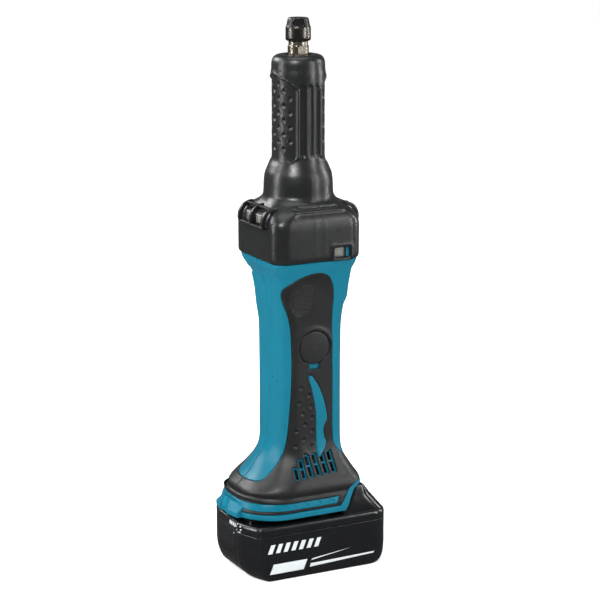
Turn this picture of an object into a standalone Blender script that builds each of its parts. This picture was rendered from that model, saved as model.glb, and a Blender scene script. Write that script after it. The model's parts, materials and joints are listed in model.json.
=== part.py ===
"""Long-neck cordless die grinder standing on its slide-on battery pack.

Every length below is in millimetres and is turned into metres when a mesh is made. +Z runs up the spindle,
X runs along the battery (its gauge end is at -X, its release button at +X), and the origin is where the
spindle axis meets the plane that the battery rests on. The two clamshell halves part at Y = 0.
"""
import math

import bmesh
import bpy
from mathutils import Vector

MM = 0.001

# Driving dimensions -------------------------------------------------------------------------------------
BATTERY_X0, BATTERY_X1, BATTERY_Y = -57.5, 57.0, 37.5
BATTERY_R_FRONT, BATTERY_R_BACK = 20.0, 12.0
CASE_SEAM_Z = 35.0
DECK_Z = 42.0
PLATFORM_TOP_Z = 56.3
BODY_TOP_Z = 232.3
HEAD_HALF, HEAD_R = 35.2, 11.0
HEAD_BOTTOM_Z = 232.6
BOOT_TOP_Z = 376.5
NOSE_R = 20.0
SPINDLE_TOP_Z = 395.5
NUT_BOTTOM_Z, NUT_TOP_Z = 385.9, 402.0
BRUSH_Z = 167.7
GAP = 0.3
SHELL = 2.6
GRIP_DEPTH = 1.8
BODY_STEPS, BOOT_STEPS = 2, 3
ROUND, MOTOR_ROUND, SMALL_ROUND = 16, 20, 8

# Sections of the clamshell's outer face: z, x at the -X side, x at the +X side, half width in Y, and the
# corner radii at the -X and +X sides.
BODY_SECTIONS = [
    (46.0, -56.6, 37.6, 38.6, 31.0, 12.0),
    (50.0, -57.0, 38.0, 39.0, 31.0, 12.0),
    (53.0, -56.0, 37.6, 38.6, 31.5, 12.0),
    (58.0, -54.3, 37.0, 37.8, 32.0, 12.0),
    (61.0, -52.2, 36.6, 37.2, 32.0, 12.0),
    (65.0, -50.6, 36.9, 37.5, 31.5, 12.5),
    (69.0, -46.2, 36.2, 36.6, 29.5, 13.0),
    (74.0, -41.4, 33.4, 34.0, 29.0, 13.0),
    (80.0, -36.8, 30.0, 30.9, 28.5, 12.5),
    (86.0, -32.2, 27.2, 28.1, 25.5, 12.0),
    (92.0, -28.6, 25.3, 25.8, 20.5, 11.5),
    (100.0, -26.0, 24.6, 24.7, 15.5, 11.0),
    (140.0, -24.6, 24.5, 24.5, 12.5, 11.0),
    (180.0, -24.7, 24.7, 24.7, 12.0, 11.0),
    (196.0, -25.9, 26.0, 25.7, 10.5, 10.5),
    (203.0, -26.4, 29.2, 26.2, 10.5, 10.5),
    (210.0, -27.0, 29.6, 26.8, 10.0, 10.0),
    (218.0, -28.2, 30.0, 28.1, 9.5, 9.5),
    (224.0, -30.6, 31.4, 30.5, 9.5, 9.5),
    (229.0, -33.0, 33.0, 32.8, 9.5, 9.5),
    (BODY_TOP_Z, -33.6, 33.6, 33.6, 9.5, 9.5),
]

# The grip's outline as seen along Y: x, z. It runs up the -X edge, over the top and down the +X edge.
GRIP_OUTLINE = [
    (-70.0, 50.2), (-70.0, 96.9), (-23.5, 97.0), (-21.2, 110.0), (-19.2, 122.0), (-17.4, 140.0),
    (-17.1, 160.0), (-18.2, 183.0), (-20.8, 194.0), (-24.6, 204.0), (-25.2, 211.0), (-21.0, 216.2),
    (-12.0, 221.0), (-1.0, 223.2), (6.0, 222.4), (11.5, 219.0), (14.8, 212.5), (15.6, 203.0),
    (15.4, 97.0), (17.5, 92.0), (22.0, 87.0), (29.0, 82.8), (70.0, 82.5), (70.0, 68.4), (36.0, 68.0),
    (28.5, 66.2), (24.6, 63.6), (21.6, 60.0), (17.7, 53.8), (15.0, 50.2),
]
# The housing's upper foot band stands through the grip as an island, and so does the curved inlay.
BAND_OUTLINE = [(-70.0, 52.8), (-70.0, 57.8), (14.0, 57.8), (12.2, 52.8)]
INLAY_OUTLINE = [
    (-4.7, 147.6), (-1.8, 147.6), (2.2, 142.0), (6.2, 134.5), (9.4, 125.5), (11.5, 113.9),
    (8.7, 109.0), (7.9, 104.0), (8.8, 99.5), (10.6, 96.0), (6.2, 88.6), (2.0, 86.6),
    (2.3, 105.0), (1.9, 123.6), (-1.0, 137.0),
]
# Half width of the housing's tongue on its -X face, from its lower tip upward: half width, z.
TONGUE_OUTLINE = [
    (0.1, 70.6), (8.0, 71.2), (15.0, 73.8), (20.5, 78.0), (24.5, 83.0), (27.0, 89.0), (29.0, 96.9),
]
# Lower edge of the foot towards +X, where it sweeps up over the battery's hump: x, z.
SWEEP_OUTLINE = [(19.7, 45.6), (23.5, 54.0), (26.5, 60.0), (30.0, 63.0), (36.0, 65.0), (62.0, 65.6)]

# Screws: x, z and the seat of the head, all driven in from the +Y side. The last three stand in bosses.
HOUSING_SCREWS = [(-24.8, 221.0, 17.2), (-16.5, 155.4, 17.2), (16.0, 155.4, 17.2), (-14.4, 124.0, 16.2),
                  (-22.0, 68.6, 23.2), (21.4, 70.6, 26.0)]
SCREW_R, SCREW_HEAD_R, BOSS_R = 2.0, 3.9, 4.5
LUG_X0, LUG_X1, LUG_Y, LUG_R = 20.0, 36.6, 14.0, 6.0
LUG_TOP_Z, LUG_FACE_Z, LUG_FOOT_Z = 266.6, 263.2, 259.0
LUG_SCREWS = [(sx * 28.4, sy * 7.6) for sx in (-1, 1) for sy in (-1, 1)]
TAB_OUTLINE = [(-45.0, 46.2), (-61.3, 46.2), (-62.0, 51.2), (-55.6, 56.6), (-45.0, 56.6)]
TAB_HALF = 16.5

# The rubber protector from the head up to the nose: z, half width, corner radius.
BOOT_SECTIONS = [
    (HEAD_BOTTOM_Z, HEAD_HALF - 0.6, HEAD_R - 0.5), (235.0, HEAD_HALF, HEAD_R), (258.0, HEAD_HALF, HEAD_R),
    (263.0, 34.4, 11.5), (267.0, 32.4, 13.0), (270.5, 29.4, 17.0), (273.5, 26.9, 23.0), (277.0, 25.3, 25.2),
    (287.0, 24.7, 24.6), (292.0, 24.1, 24.0), (296.5, 22.3, 22.2), (300.0, 20.8, 20.7),
    (304.0, NOSE_R, NOSE_R - 0.1), (362.5, NOSE_R, NOSE_R - 0.1), (366.0, 19.3, 19.2), (372.5, 19.1, 19.0),
    (375.2, 18.0, 17.9),
    (BOOT_TOP_Z, 15.6, 15.5),
]
HOOD_OUTLINE = [(22.0, 273.6), (28.4, 273.4), (34.2, 270.2), (37.8, 266.6), (39.4, 262.4), (39.4, 258.0),
                (37.6, 256.4), (22.0, 255.0)]
HOOD_HALF = 19.6

SPINDLE_R, COLLET_BORE_R, SPANNER_FLAT = 7.5, 3.0, 6.5
NUT_FLAT_TURN = -25.0
YOKE_R, COMMUTATOR_R, BALL_BEARING_R = 20.0, 11.0, 11.0
COVER_X, COVER_R = 0.8, 12.1
KNOB_MIDDLE_Z = 208.4
PLATFORM_X0 = -42.7
RAIL_WAY_Y, NECK_WAY_Y = 24.7, 20.9
GAUGE_Y, GAUGE_Z, GAUGE_R = -17.4, 38.8, 2.1
CORNER_R = 11.0

TEAL = (0.010, 0.215, 0.300, 1.0)
CHARCOAL = (0.030, 0.032, 0.034, 1.0)
GLOSS_BLACK = (0.012, 0.014, 0.016, 1.0)
STEEL = (0.55, 0.53, 0.50, 1.0)
DARK_STEEL = (0.09, 0.09, 0.09, 1.0)
ALUMINIUM = (0.62, 0.63, 0.61, 1.0)
COPPER = (0.75, 0.36, 0.17, 1.0)
BRASS = (0.75, 0.57, 0.25, 1.0)
CARBON = (0.03, 0.03, 0.03, 1.0)
FERRITE = (0.07, 0.07, 0.08, 1.0)
NYLON = (0.05, 0.05, 0.05, 1.0)
BOARD_GREEN = (0.02, 0.16, 0.06, 1.0)
CELL_BLUE = (0.05, 0.15, 0.42, 1.0)
RED_LENS = (0.45, 0.02, 0.02, 1.0)

FINISHES = {
    "teal_shell": (TEAL, 0.38, 0.0),
    "charcoal_grip": (CHARCOAL, 0.62, 0.0),
    "rubber_boot": (CHARCOAL, 0.52, 0.0),
    "gloss_case": (GLOSS_BLACK, 0.22, 0.0),
    "black_plastic": (NYLON, 0.45, 0.0),
    "bright_steel": (STEEL, 0.25, 1.0),
    "dark_steel": (DARK_STEEL, 0.35, 1.0),
    "cast_alloy": (ALUMINIUM, 0.45, 1.0),
    "copper": (COPPER, 0.35, 1.0),
    "brass": (BRASS, 0.30, 1.0),
    "carbon": (CARBON, 0.70, 0.0),
    "ferrite": (FERRITE, 0.55, 0.0),
    "circuit_board": (BOARD_GREEN, 0.50, 0.0),
    "cell_sleeve": (CELL_BLUE, 0.40, 0.0),
    "gauge_red": (RED_LENS, 0.15, 0.0),
}


# Building blocks ----------------------------------------------------------------------------------------
def clear_scene():
    for old in list(bpy.data.objects):
        bpy.data.objects.remove(old, do_unlink=True)


def finish(slot):
    """The Principled material of one slot, made the first time it is asked for."""
    known = bpy.data.materials.get(slot)
    if known:
        return known
    colour, roughness, metallic = FINISHES[slot]
    made = bpy.data.materials.new(slot)
    made.use_nodes = True
    shader = made.node_tree.nodes["Principled BSDF"]
    shader.inputs["Base Color"].default_value = colour
    shader.inputs["Roughness"].default_value = roughness
    shader.inputs["Metallic"].default_value = metallic
    made.diffuse_color = colour
    return made


def solid(name, points, faces, slot=None, origin=(0.0, 0.0, 0.0)):
    """A closed mesh object from points in millimetres, with its object origin where it is asked for."""
    mesh = bpy.data.meshes.new(name)
    shift = Vector(origin)
    mesh.from_pydata([tuple((Vector(p) - shift) * MM) for p in points], [], faces)
    fix = bmesh.new()
    fix.from_mesh(mesh)
    bmesh.ops.recalc_face_normals(fix, faces=fix.faces)
    fix.to_mesh(mesh)
    fix.free()
    made = bpy.data.objects.new(name, mesh)
    made.location = shift * MM
    bpy.context.scene.collection.objects.link(made)
    if slot:
        mesh.materials.append(finish(slot))
    return made


def loft(name, rings, slot=None, origin=(0.0, 0.0, 0.0)):
    """A solid through closed rings that all have the same number of points."""
    count = len(rings[0])
    points = [p for ring in rings for p in ring]
    faces = []
    for level in range(len(rings) - 1):
        for i in range(count):
            j = (i + 1) % count
            low, high = level * count, (level + 1) * count
            faces.append((low + i, low + j, high + j, high + i))
    faces.append(tuple(range(count))[::-1])
    faces.append(tuple(range(len(points) - count, len(points))))
    return solid(name, points, faces, slot, origin)


def corner_ring(z, x0, x1, y, r_front, r_back, steps=BODY_STEPS):
    """A rectangle with rounded corners at one height, counter-clockwise from its +X +Y corner."""
    ring = []
    corners = [(x1, y, r_back, 0), (x0, y, r_front, 1), (x0, -y, r_front, 2), (x1, -y, r_back, 3)]
    for cx, cy, r, quarter in corners:
        mx = cx - math.copysign(r, cx - (x0 + x1) / 2)
        my = cy - math.copysign(r, cy)
        for k in range(steps + 1):
            turn = math.radians(90 * (quarter + k / steps))
            ring.append((mx + r * math.cos(turn), my + r * math.sin(turn), z))
    return ring


def inset(section, depth):
    """A body section moved inward on every side."""
    z, x0, x1, y, r_front, r_back = section
    return (z, x0 + depth, x1 - depth, y - depth, max(r_front - depth, 1.5), max(r_back - depth, 1.5))


def body_loft(name, depth, low=None, high=None):
    """The clamshell's outer shape, set in by a depth, optionally running past its two ends."""
    sections = [inset(s, depth) for s in BODY_SECTIONS]
    if low is not None:
        sections = [(low,) + sections[0][1:]] + sections
    if high is not None:
        sections = sections + [(high,) + sections[-1][1:]]
    return loft(name, [corner_ring(*s) for s in sections])


def box(name, x0, x1, y0, y1, z0, z1, slot=None, origin=(0.0, 0.0, 0.0)):
    ring = [(x0, y0), (x1, y0), (x1, y1), (x0, y1)]
    return loft(name, [[(x, y, z) for x, y in ring] for z in (z0, z1)], slot, origin)


def cylinder(name, r, z0, z1, slot=None, x=0.0, y=0.0, count=ROUND, origin=(0.0, 0.0, 0.0)):
    return turned(name, [(0, z0), (r, z0), (r, z1), (0, z1)], slot, x, y, count, origin)


def turned(name, profile, slot=None, x=0.0, y=0.0, count=ROUND, origin=(0.0, 0.0, 0.0)):
    """A turned solid about a vertical axis: profile points are radius and height, and close on themselves."""
    points, starts = [], []
    for r, z in profile:
        starts.append(len(points))
        if r == 0:
            points.append((x, y, z))
            continue
        for k in range(count):
            turn = 2 * math.pi * k / count
            points.append((x + r * math.cos(turn), y + r * math.sin(turn), z))
    faces = []
    for here in range(len(profile)):
        there = (here + 1) % len(profile)
        a, b = starts[here], starts[there]
        if profile[here][0] == 0 and profile[there][0] == 0:
            continue
        for k in range(count):
            n = (k + 1) % count
            if profile[here][0] == 0:
                faces.append((a, b + k, b + n))
            elif profile[there][0] == 0:
                faces.append((a + k, b, a + n))
            else:
                faces.append((a + k, b + k, b + n, a + n))
    return solid(name, points, faces, slot, origin)


def along_y(name, profile, slot=None, x=0.0, z=0.0, count=ROUND):
    """A turned solid about an axis along Y: profile points are radius and Y."""
    made = turned(name, profile, slot, 0.0, 0.0, count)
    for vertex in made.data.vertices:
        px, py, pz = vertex.co
        vertex.co = (px + x * MM, pz, -py + z * MM)
    return made


def prism_y(name, outline, y0, y1, slot=None):
    """An outline of x, z points extruded along Y."""
    return loft(name, [[(x, y, z) for x, z in outline] for y in (y0, y1)], slot)


def prism_x(name, outline, x_low, x_high, slot=None):
    """An outline of y, z points extruded along X; either end may be a rule that gives x from z."""
    rows = []
    for end in (x_low, x_high):
        rows.append([(end(z) if callable(end) else end, y, z) for y, z in outline])
    return loft(name, rows, slot)


def boolean(target, tool, operation="DIFFERENCE", keep_tool=False):
    """Applies one Boolean to a target, with the exact solver, and removes or keeps the tool."""
    modifier = target.modifiers.new(operation.lower(), "BOOLEAN")
    modifier.operation = operation
    modifier.solver = "EXACT"
    modifier.object = tool
    bpy.context.view_layer.update()
    evaluated = target.evaluated_get(bpy.context.evaluated_depsgraph_get())
    result = bpy.data.meshes.new_from_object(evaluated)
    target.modifiers.clear()
    target.data = result
    if not keep_tool:
        bpy.data.objects.remove(tool, do_unlink=True)
    return target


def cut(target, *tools):
    for tool in tools:
        boolean(target, tool)
    return target


def join(target, *tools):
    for tool in tools:
        boolean(target, tool, "UNION")
    return target


def copy_of(source, name):
    made = bpy.data.objects.new(name, source.data.copy())
    made.location = source.location
    bpy.context.scene.collection.objects.link(made)
    return made


def mirrored(source, name, slot=None):
    """The same piece on the other side of the Y = 0 plane."""
    made = copy_of(source, name)
    flip = bmesh.new()
    flip.from_mesh(made.data)
    for vertex in flip.verts:
        vertex.co.y = -vertex.co.y
    bmesh.ops.reverse_faces(flip, faces=flip.faces)
    flip.to_mesh(made.data)
    flip.free()
    made.location.y = -source.location.y
    dress(made, slot)
    return made


def dress(made, slot):
    if slot:
        made.data.materials.clear()
        made.data.materials.append(finish(slot))
    made.data.shade_smooth()
    made.data.set_sharp_from_angle(angle=math.radians(35))


def grown(outline, distance):
    """An outline moved outward along its own normals; its points may run either way round."""
    count = len(outline)
    area = sum(outline[i][0] * outline[(i + 1) % count][1] - outline[(i + 1) % count][0] * outline[i][1]
               for i in range(count))
    side = 1.0 if area > 0 else -1.0
    moved = []
    for i in range(count):
        ax, az = outline[i - 1]
        bx, bz = outline[i]
        cx, cz = outline[(i + 1) % count]
        first = Vector((bz - az, ax - bx)).normalized() * side
        second = Vector((cz - bz, bx - cx)).normalized() * side
        middle = (first + second).normalized()
        reach = distance / max(middle.dot(first), 0.5)
        moved.append((bx + middle.x * reach, bz + middle.y * reach))
    return moved


# Housing and grips --------------------------------------------------------------------------------------
def grip_region(margin, y_end):
    """The space on the -Y side that the grip fills, grown by a margin and ending near the parting plane."""
    region = prism_y("region", grown(GRIP_OUTLINE, margin), -60.0, y_end)
    half = grown([(0.0, 240.0)] + [(w, z) for w, z in TONGUE_OUTLINE] + [(29.0, 240.0)], -margin)
    tongue = [(-y, z) for y, z in half if z < 97.5]
    full = [(-TONGUE_OUTLINE[-1][0] - 6.0, 98.9)] + tongue[::-1] + [(6.0, tongue[0][1]), (6.0, 98.9)]

    def tongue_root(z):
        """Where the tongue's root lies along X, leaning outward as the foot flares."""
        return -23.3 - 0.47 * (97.0 - z) - margin

    cut(region, prism_x("tongue", full, -90.0, tongue_root))
    cut(region, prism_y("band", grown(BAND_OUTLINE, -margin), -70.0, 5.0))
    cut(region, prism_y("inlay", grown(INLAY_OUTLINE, -margin), -70.0, 5.0))
    return region


def vent_slots():
    """Centre x, low z, high z and half width of the six slanted cooling slots, from -X to +X."""
    low_z = [73.6, 74.0, 74.4, 74.8, 75.2, 75.6]
    high_z = [80.8, 86.0, 88.6, 89.0, 89.4, 89.8]
    return [(-18.0 + 6.2 * k, low_z[k], high_z[k], 1.9) for k in range(6)]


def slot_prism(slot, margin, y0, y1):
    x, z0, z1, half = slot
    lean = math.tan(math.radians(6.7))
    outline = []
    for side, z in ((-1, z0 - margin), (1, z0 - margin), (1, z1 + margin), (-1, z1 + margin)):
        outline.append((x + side * (half + margin) - (z - z0) * lean, z))
    return prism_y("slot", outline, y0, y1)


def screw_space(screw, margin):
    """The room of one housing screw: its shank, and its head sunk in from the +Y side."""
    x, z, seat = screw
    shank, head = SCREW_R + margin, SCREW_HEAD_R + margin
    profile = [(0, -seat - margin), (shank, -seat - margin), (shank, seat), (head, seat), (head, 60), (0, 60)]
    return along_y("screw_space", profile, None, x, z, SMALL_ROUND)


def motor_spaces():
    """The rooms inside the clamshell, from the head downward."""
    handle_section = (-24.5, 24.5, 24.5, CORNER_R + 4.5, CORNER_R)
    return [
        cylinder("motor_bore", YOKE_R + GAP, 176.0, 236.0, count=MOTOR_ROUND),
        cylinder("top_bore", 25.5, 229.0, 236.0, count=MOTOR_ROUND),
        cylinder("brush_room", 21.0, 160.0, 176.5),
        cylinder("bearing_seat", BALL_BEARING_R + GAP, 151.0, 161.0),
        loft("handle_room", [corner_ring(*inset((z,) + handle_section, SHELL + 0.4)) for z in (90.0, 149.0)]),
        box("link_way", 19.0, 22.9, -4.6, 4.6, 100.0, 232.0),
        box("switch_window", 20.0, 40.0, -8.6, 8.6, 199.6, 226.0),
        along_y("holder_way", [(0, -30), (6.6, -30), (6.6, 30), (0, 30)], None, 0.0, BRUSH_Z),
    ]


def foot_spaces():
    """The battery's channel with its rails, the hump's room and the foot's own chamber."""
    hump_room = [(17.0, 40.0)] + SWEEP_OUTLINE + [(62.0, 40.0)]
    chamber = [(60.0, -43.0, 26.0, 31.0, 26, 8), (66.0, -43.0, 31.0, 32.0, 26, 8),
               (74.0, -35.0, 27.5, 28.0, 24, 8), (86.0, -22.0, 21.5, 22.5, 18, 8), (92.0, -21, 21, 21, 13, 8)]
    return [
        box("flange_way", -44.0, 45.0, -RAIL_WAY_Y, RAIL_WAY_Y, 50.7, PLATFORM_TOP_Z + 0.9),
        box("neck_way", -44.0, 45.0, -NECK_WAY_Y, NECK_WAY_Y, 40.0, 51.0),
        prism_y("hump_way", hump_room, -60.0, 60.0),
        loft("chamber", [corner_ring(*row) for row in chamber]),
        box("terminal_way", -40.0, -8.0, -14.0, 14.0, 56.0, 61.0),
        box("latch_way", 8.0, 45.0, -8.2, 8.2, 56.0, 61.5),
    ]


def grip_recess(side):
    """The pocket that one grip lies in, a little larger than the grip."""
    recess = grip_region(GAP, 1.0)
    cut(recess, body_loft("core", GRIP_DEPTH + GAP, low=30.0, high=250.0))
    if side < 0:
        return recess
    other = mirrored(recess, "recess_rear")
    bpy.data.objects.remove(recess, do_unlink=True)
    return other


def pierce(half):
    """The cooling slots and the holes for screws in one half of the housing."""
    for slot in vent_slots():
        cut(half, slot_prism(slot, -0.5, -60.0, 60.0))
    for x, y in LUG_SCREWS:
        cut(half, cylinder("pilot", 2.3, 226.8, 240.0, None, x, y, SMALL_ROUND))
    for screw in HOUSING_SCREWS:
        cut(half, screw_space(screw, GAP))


def make_housing():
    shell = body_loft("housing_rear", 0.0)
    join(shell, prism_y("tab", TAB_OUTLINE, -TAB_HALF, TAB_HALF))
    cut(shell, grip_recess(-1), grip_recess(1))
    cut(shell, *motor_spaces())
    cut(shell, *foot_spaces())
    for x, z, seat in HOUSING_SCREWS[3:]:
        boss = [(0, -seat - 3.0), (BOSS_R, -seat - 3.0), (BOSS_R, seat + 3.0), (0, seat + 3.0)]
        join(shell, along_y("boss", boss, None, x, z, SMALL_ROUND))
    front = copy_of(shell, "housing_front")
    boolean(front, box("half", -90, 90, -90, -GAP / 2, 0, 300), "INTERSECT")
    boolean(shell, box("half", -90, 90, GAP / 2, 90, 0, 300), "INTERSECT")
    for half in (front, shell):
        pierce(half)
        dress(half, "teal_shell")


def make_grips():
    grip = body_loft("grip_front", 0.0)
    boolean(grip, grip_region(0.0, -GAP / 2), "INTERSECT")
    cut(grip, body_loft("core", GRIP_DEPTH, low=30.0, high=250.0))
    for slot in vent_slots():
        cut(grip, slot_prism(slot, 0.5, -60.0, -10.0))
    hole = COVER_R + 1.2
    cut(grip, along_y("cover_hole", [(0, -60), (hole, -60), (hole, -15), (0, -15)], None, COVER_X, BRUSH_Z))
    cut(grip, box("driver_notch", COVER_X - 4.2, COVER_X + 4.2, -60.0, -15.0, BRUSH_Z - 16.0, BRUSH_Z - 10.0))
    rear = mirrored(grip, "grip_rear")
    for screw in HOUSING_SCREWS:
        cut(rear, screw_space(screw, GAP))
    dress(grip, "charcoal_grip")
    dress(rear, "charcoal_grip")


def make_housing_screws():
    for number, (x, z, seat) in enumerate(HOUSING_SCREWS, 1):
        profile = [(0, -seat), (SCREW_R, -seat), (SCREW_R, seat + GAP), (SCREW_HEAD_R, seat + GAP),
                   (SCREW_HEAD_R, seat + 2.6), (0, seat + 2.6)]
        screw = along_y(f"housing_screw_{number}", profile, "dark_steel", x, z, SMALL_ROUND)
        dress(screw, "dark_steel")


# Nose and head ------------------------------------------------------------------------------------------
def lug_pad(name, side, margin, z0, z1):
    """The pad on one side of the casting that its two screws stand on."""
    x0, x1 = LUG_X0 - margin, LUG_X1 + margin
    low, high = (x0, x1) if side > 0 else (-x1, -x0)
    front, back = (LUG_R + margin, 1.0) if side < 0 else (1.0, LUG_R + margin)
    return loft(name, [corner_ring(z, low, high, LUG_Y + margin, front, back) for z in (z0, z1)])


def make_boot():
    boot = loft("rubber_protector", [corner_ring(z, -half, half, half, r, r, BOOT_STEPS)
                                     for z, half, r in BOOT_SECTIONS])
    for side in (-1, 1):
        hood = [(side * x, z) for x, z in HOOD_OUTLINE]
        join(boot, prism_y("hood", hood, -HOOD_HALF, HOOD_HALF))
    inner = loft("inner", [corner_ring(z, -31.95, 31.95, 31.95, 8.8, 8.8) for z in (230.0, 262.4)])
    for side in (-1, 1):
        join(inner, lug_pad("lug_room", side, GAP, LUG_FOOT_Z - GAP, LUG_TOP_Z + GAP))
    core = [(0, 250), (20.9, 250), (20.9, 292.3), (17.0, 298.3), (17.0, 373.1), (10.5, 373.1), (10.5, 380),
            (0, 380)]
    cut(boot, inner, turned("core", core))
    for side_x in (-1, 1):
        for side_y in (-1, 1):
            x0, x1 = sorted((side_x * 26.5, side_x * 50.0))
            y0, y1 = sorted((side_y * 1.3, side_y * (HOOD_HALF - 2.2)))
            cut(boot, box("hood_window", x0, x1, y0, y1, 258.4, 268.8))
    cut(boot, box("face_window", 11.4, 23.2, -50.0, -25.0, 234.6, 242.6))
    dress(boot, "rubber_boot")


def make_casting():
    casting = loft("nose_casting", [corner_ring(z, -31.6, 31.6, 31.6, 8.5, 8.5) for z in (232.9, 262.0)])
    snout = [(0, 255), (20.6, 255), (20.6, 292), (16.7, 298), (16.7, 372.8), (0, 372.8)]
    join(casting, turned("snout", snout))
    for side in (-1, 1):
        join(casting, lug_pad("lug", side, 0.0, LUG_FOOT_Z, LUG_FACE_Z))
    seat = BALL_BEARING_R + GAP
    rooms = [(0, 220), (27.5, 220), (27.5, 253), (seat, 253), (seat, 290), (14.3, 290), (14.3, 380), (0, 380)]
    cut(casting, turned("rooms", rooms, count=20))
    for x, y in LUG_SCREWS:
        cut(casting, cylinder("screw_way", 2.3, 220.0, 280.0, None, x, y, SMALL_ROUND))
    dress(casting, "cast_alloy")
    for number, (x, y) in enumerate(LUG_SCREWS, 1):
        head = LUG_FACE_Z + GAP
        profile = [(0, 227.3), (1.9, 227.3), (1.9, head), (3.9, head), (3.9, LUG_TOP_Z), (0, LUG_TOP_Z)]
        dress(turned(f"casting_screw_{number}", profile, "bright_steel", x, y, SMALL_ROUND), "bright_steel")


def ring(name, slot, r_out, r_in, z0, z1, count=ROUND):
    made = turned(name, [(r_in, z0), (r_out, z0), (r_out, z1), (r_in, z1)], slot, count=count)
    dress(made, slot)
    return made


def make_nose_bearings():
    ring("nose_bearing_rear", "bright_steel", 14.0, 6.2, 291.0, 299.0)
    ring("nose_bearing_front", "bright_steel", 14.0, 6.2, 352.0, 360.0)
    ring("bearing_retainer", "dark_steel", 14.0, 8.0, 360.4, 365.4)


def make_spindle():
    profile = [(0, 269.0), (5.0, 269.0), (5.0, 290.5), (5.9, 290.5), (5.9, 360.2), (SPINDLE_R, 360.2),
               (SPINDLE_R, 382.4), (6.9, 382.4), (6.9, 385.4), (6.0, 385.4), (6.0, SPINDLE_TOP_Z),
               (4.9, SPINDLE_TOP_Z), (4.9, 373.0), (0, 373.0)]
    spindle = turned("spindle", profile, "bright_steel")
    for side in (-1, 1):
        y0, y1 = sorted((side * SPANNER_FLAT, side * 20.0))
        cut(spindle, box("flat", -20, 20, y0, y1, 374.5, 382.6))
    dress(spindle, "bright_steel")
    ring("dust_ring", "dark_steel", 13.4, SPINDLE_R + GAP, 366.2, 371.6)


def make_collet():
    cone = [(COLLET_BORE_R, 374.0), (4.3, 374.0), (4.6, 378.0), (4.6, 401.4), (COLLET_BORE_R, 401.4)]
    collet = turned("collet_cone", cone, "bright_steel")
    dress(collet, "bright_steel")
    profile = [(6.3, NUT_BOTTOM_Z), (8.5, NUT_BOTTOM_Z), (9.0, 386.5), (9.0, 395.9), (7.0, 401.4),
               (6.6, NUT_TOP_Z), (4.95, NUT_TOP_Z), (4.95, 399.0), (6.3, 396.8)]
    nut = turned("collet_nut", profile, "dark_steel", count=20)
    turn = math.radians(NUT_FLAT_TURN)
    for side in (-1, 1):
        y0, y1 = sorted((side * SPANNER_FLAT, side * 20.0))
        flat = box("flat", -20, 20, y0, y1, 396.6, 410.0)
        flat.rotation_euler.z = turn
        cut(nut, flat)
    dress(nut, "dark_steel")


# Motor --------------------------------------------------------------------------------------------------
def make_stator():
    ring("motor_yoke", "dark_steel", YOKE_R, 17.3, 178.0, 228.6, MOTOR_ROUND)
    for name, middle in (("magnet_left", 180), ("magnet_right", 0)):
        outer, inner = [], []
        for k in range(9):
            turn = math.radians(middle - 68 + 17 * k)
            outer.append((17.0 * math.cos(turn), 17.0 * math.sin(turn)))
            inner.append((14.9 * math.cos(turn), 14.9 * math.sin(turn)))
        outline = outer + inner[::-1]
        dress(loft(name, [[(x, y, z) for x, y in outline] for z in (186.0, 222.0)], "ferrite"), "ferrite")
    ring("air_baffle", "black_plastic", 25.2, 16.0, 229.3, 231.9, MOTOR_ROUND)
    ring("armature_bearing_front", "bright_steel", BALL_BEARING_R, 4.3, 253.6, 260.6, 16)
    ring("armature_bearing_rear", "bright_steel", BALL_BEARING_R, 4.3, 152.0, 159.0, 16)


def make_armature():
    shaft = [(0, 151.6), (4.0, 151.6), (4.0, 161.0), (5.0, 161.0), (5.0, 252.0), (4.0, 252.0), (4.0, 268.6),
             (0, 268.6)]
    dress(turned("armature_shaft", shaft, "bright_steel", count=16), "bright_steel")
    sleeve = [(4.3, 261.4), (8.0, 261.4), (8.0, 288.0), (5.3, 288.0), (5.3, 268.8), (4.3, 268.8)]
    dress(turned("coupling_sleeve", sleeve, "dark_steel", count=16), "dark_steel")
    teeth = []
    for k in range(12):
        for part, r in ((0.12, 14.2), (0.88, 14.2), (0.94, 12.4), (1.06, 12.4)):
            turn = 2 * math.pi * (k + part) / 12
            teeth.append((r * math.cos(turn), r * math.sin(turn)))
    core = loft("armature_core", [[(x, y, z) for x, y in teeth] for z in (186.0, 222.0)], "dark_steel")
    cut(core, cylinder("shaft_way", 5.3, 180.0, 230.0, count=16))
    dress(core, "dark_steel")
    ring("winding_lower", "copper", 12.4, 5.3, 175.6, 185.7, 16)
    ring("winding_upper", "copper", 12.4, 5.3, 222.3, 229.4, 16)
    ring("commutator", "copper", COMMUTATOR_R, 5.3, 162.6, 173.4)


def make_fan():
    disc = [(5.3, 236.6), (8.0, 236.6), (8.0, 248.0), (25.6, 248.0), (25.6, 249.6), (5.3, 249.6)]
    fan = turned("fan", disc, "black_plastic")
    blades = 9
    for k in range(blades):
        blade = box("blade", 7.4, 24.8, -0.6, 0.6, 238.0, 248.6)
        blade.rotation_euler.z = 2 * math.pi * (k + 0.37) / blades
        join(fan, blade)
    dress(fan, "black_plastic")


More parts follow.
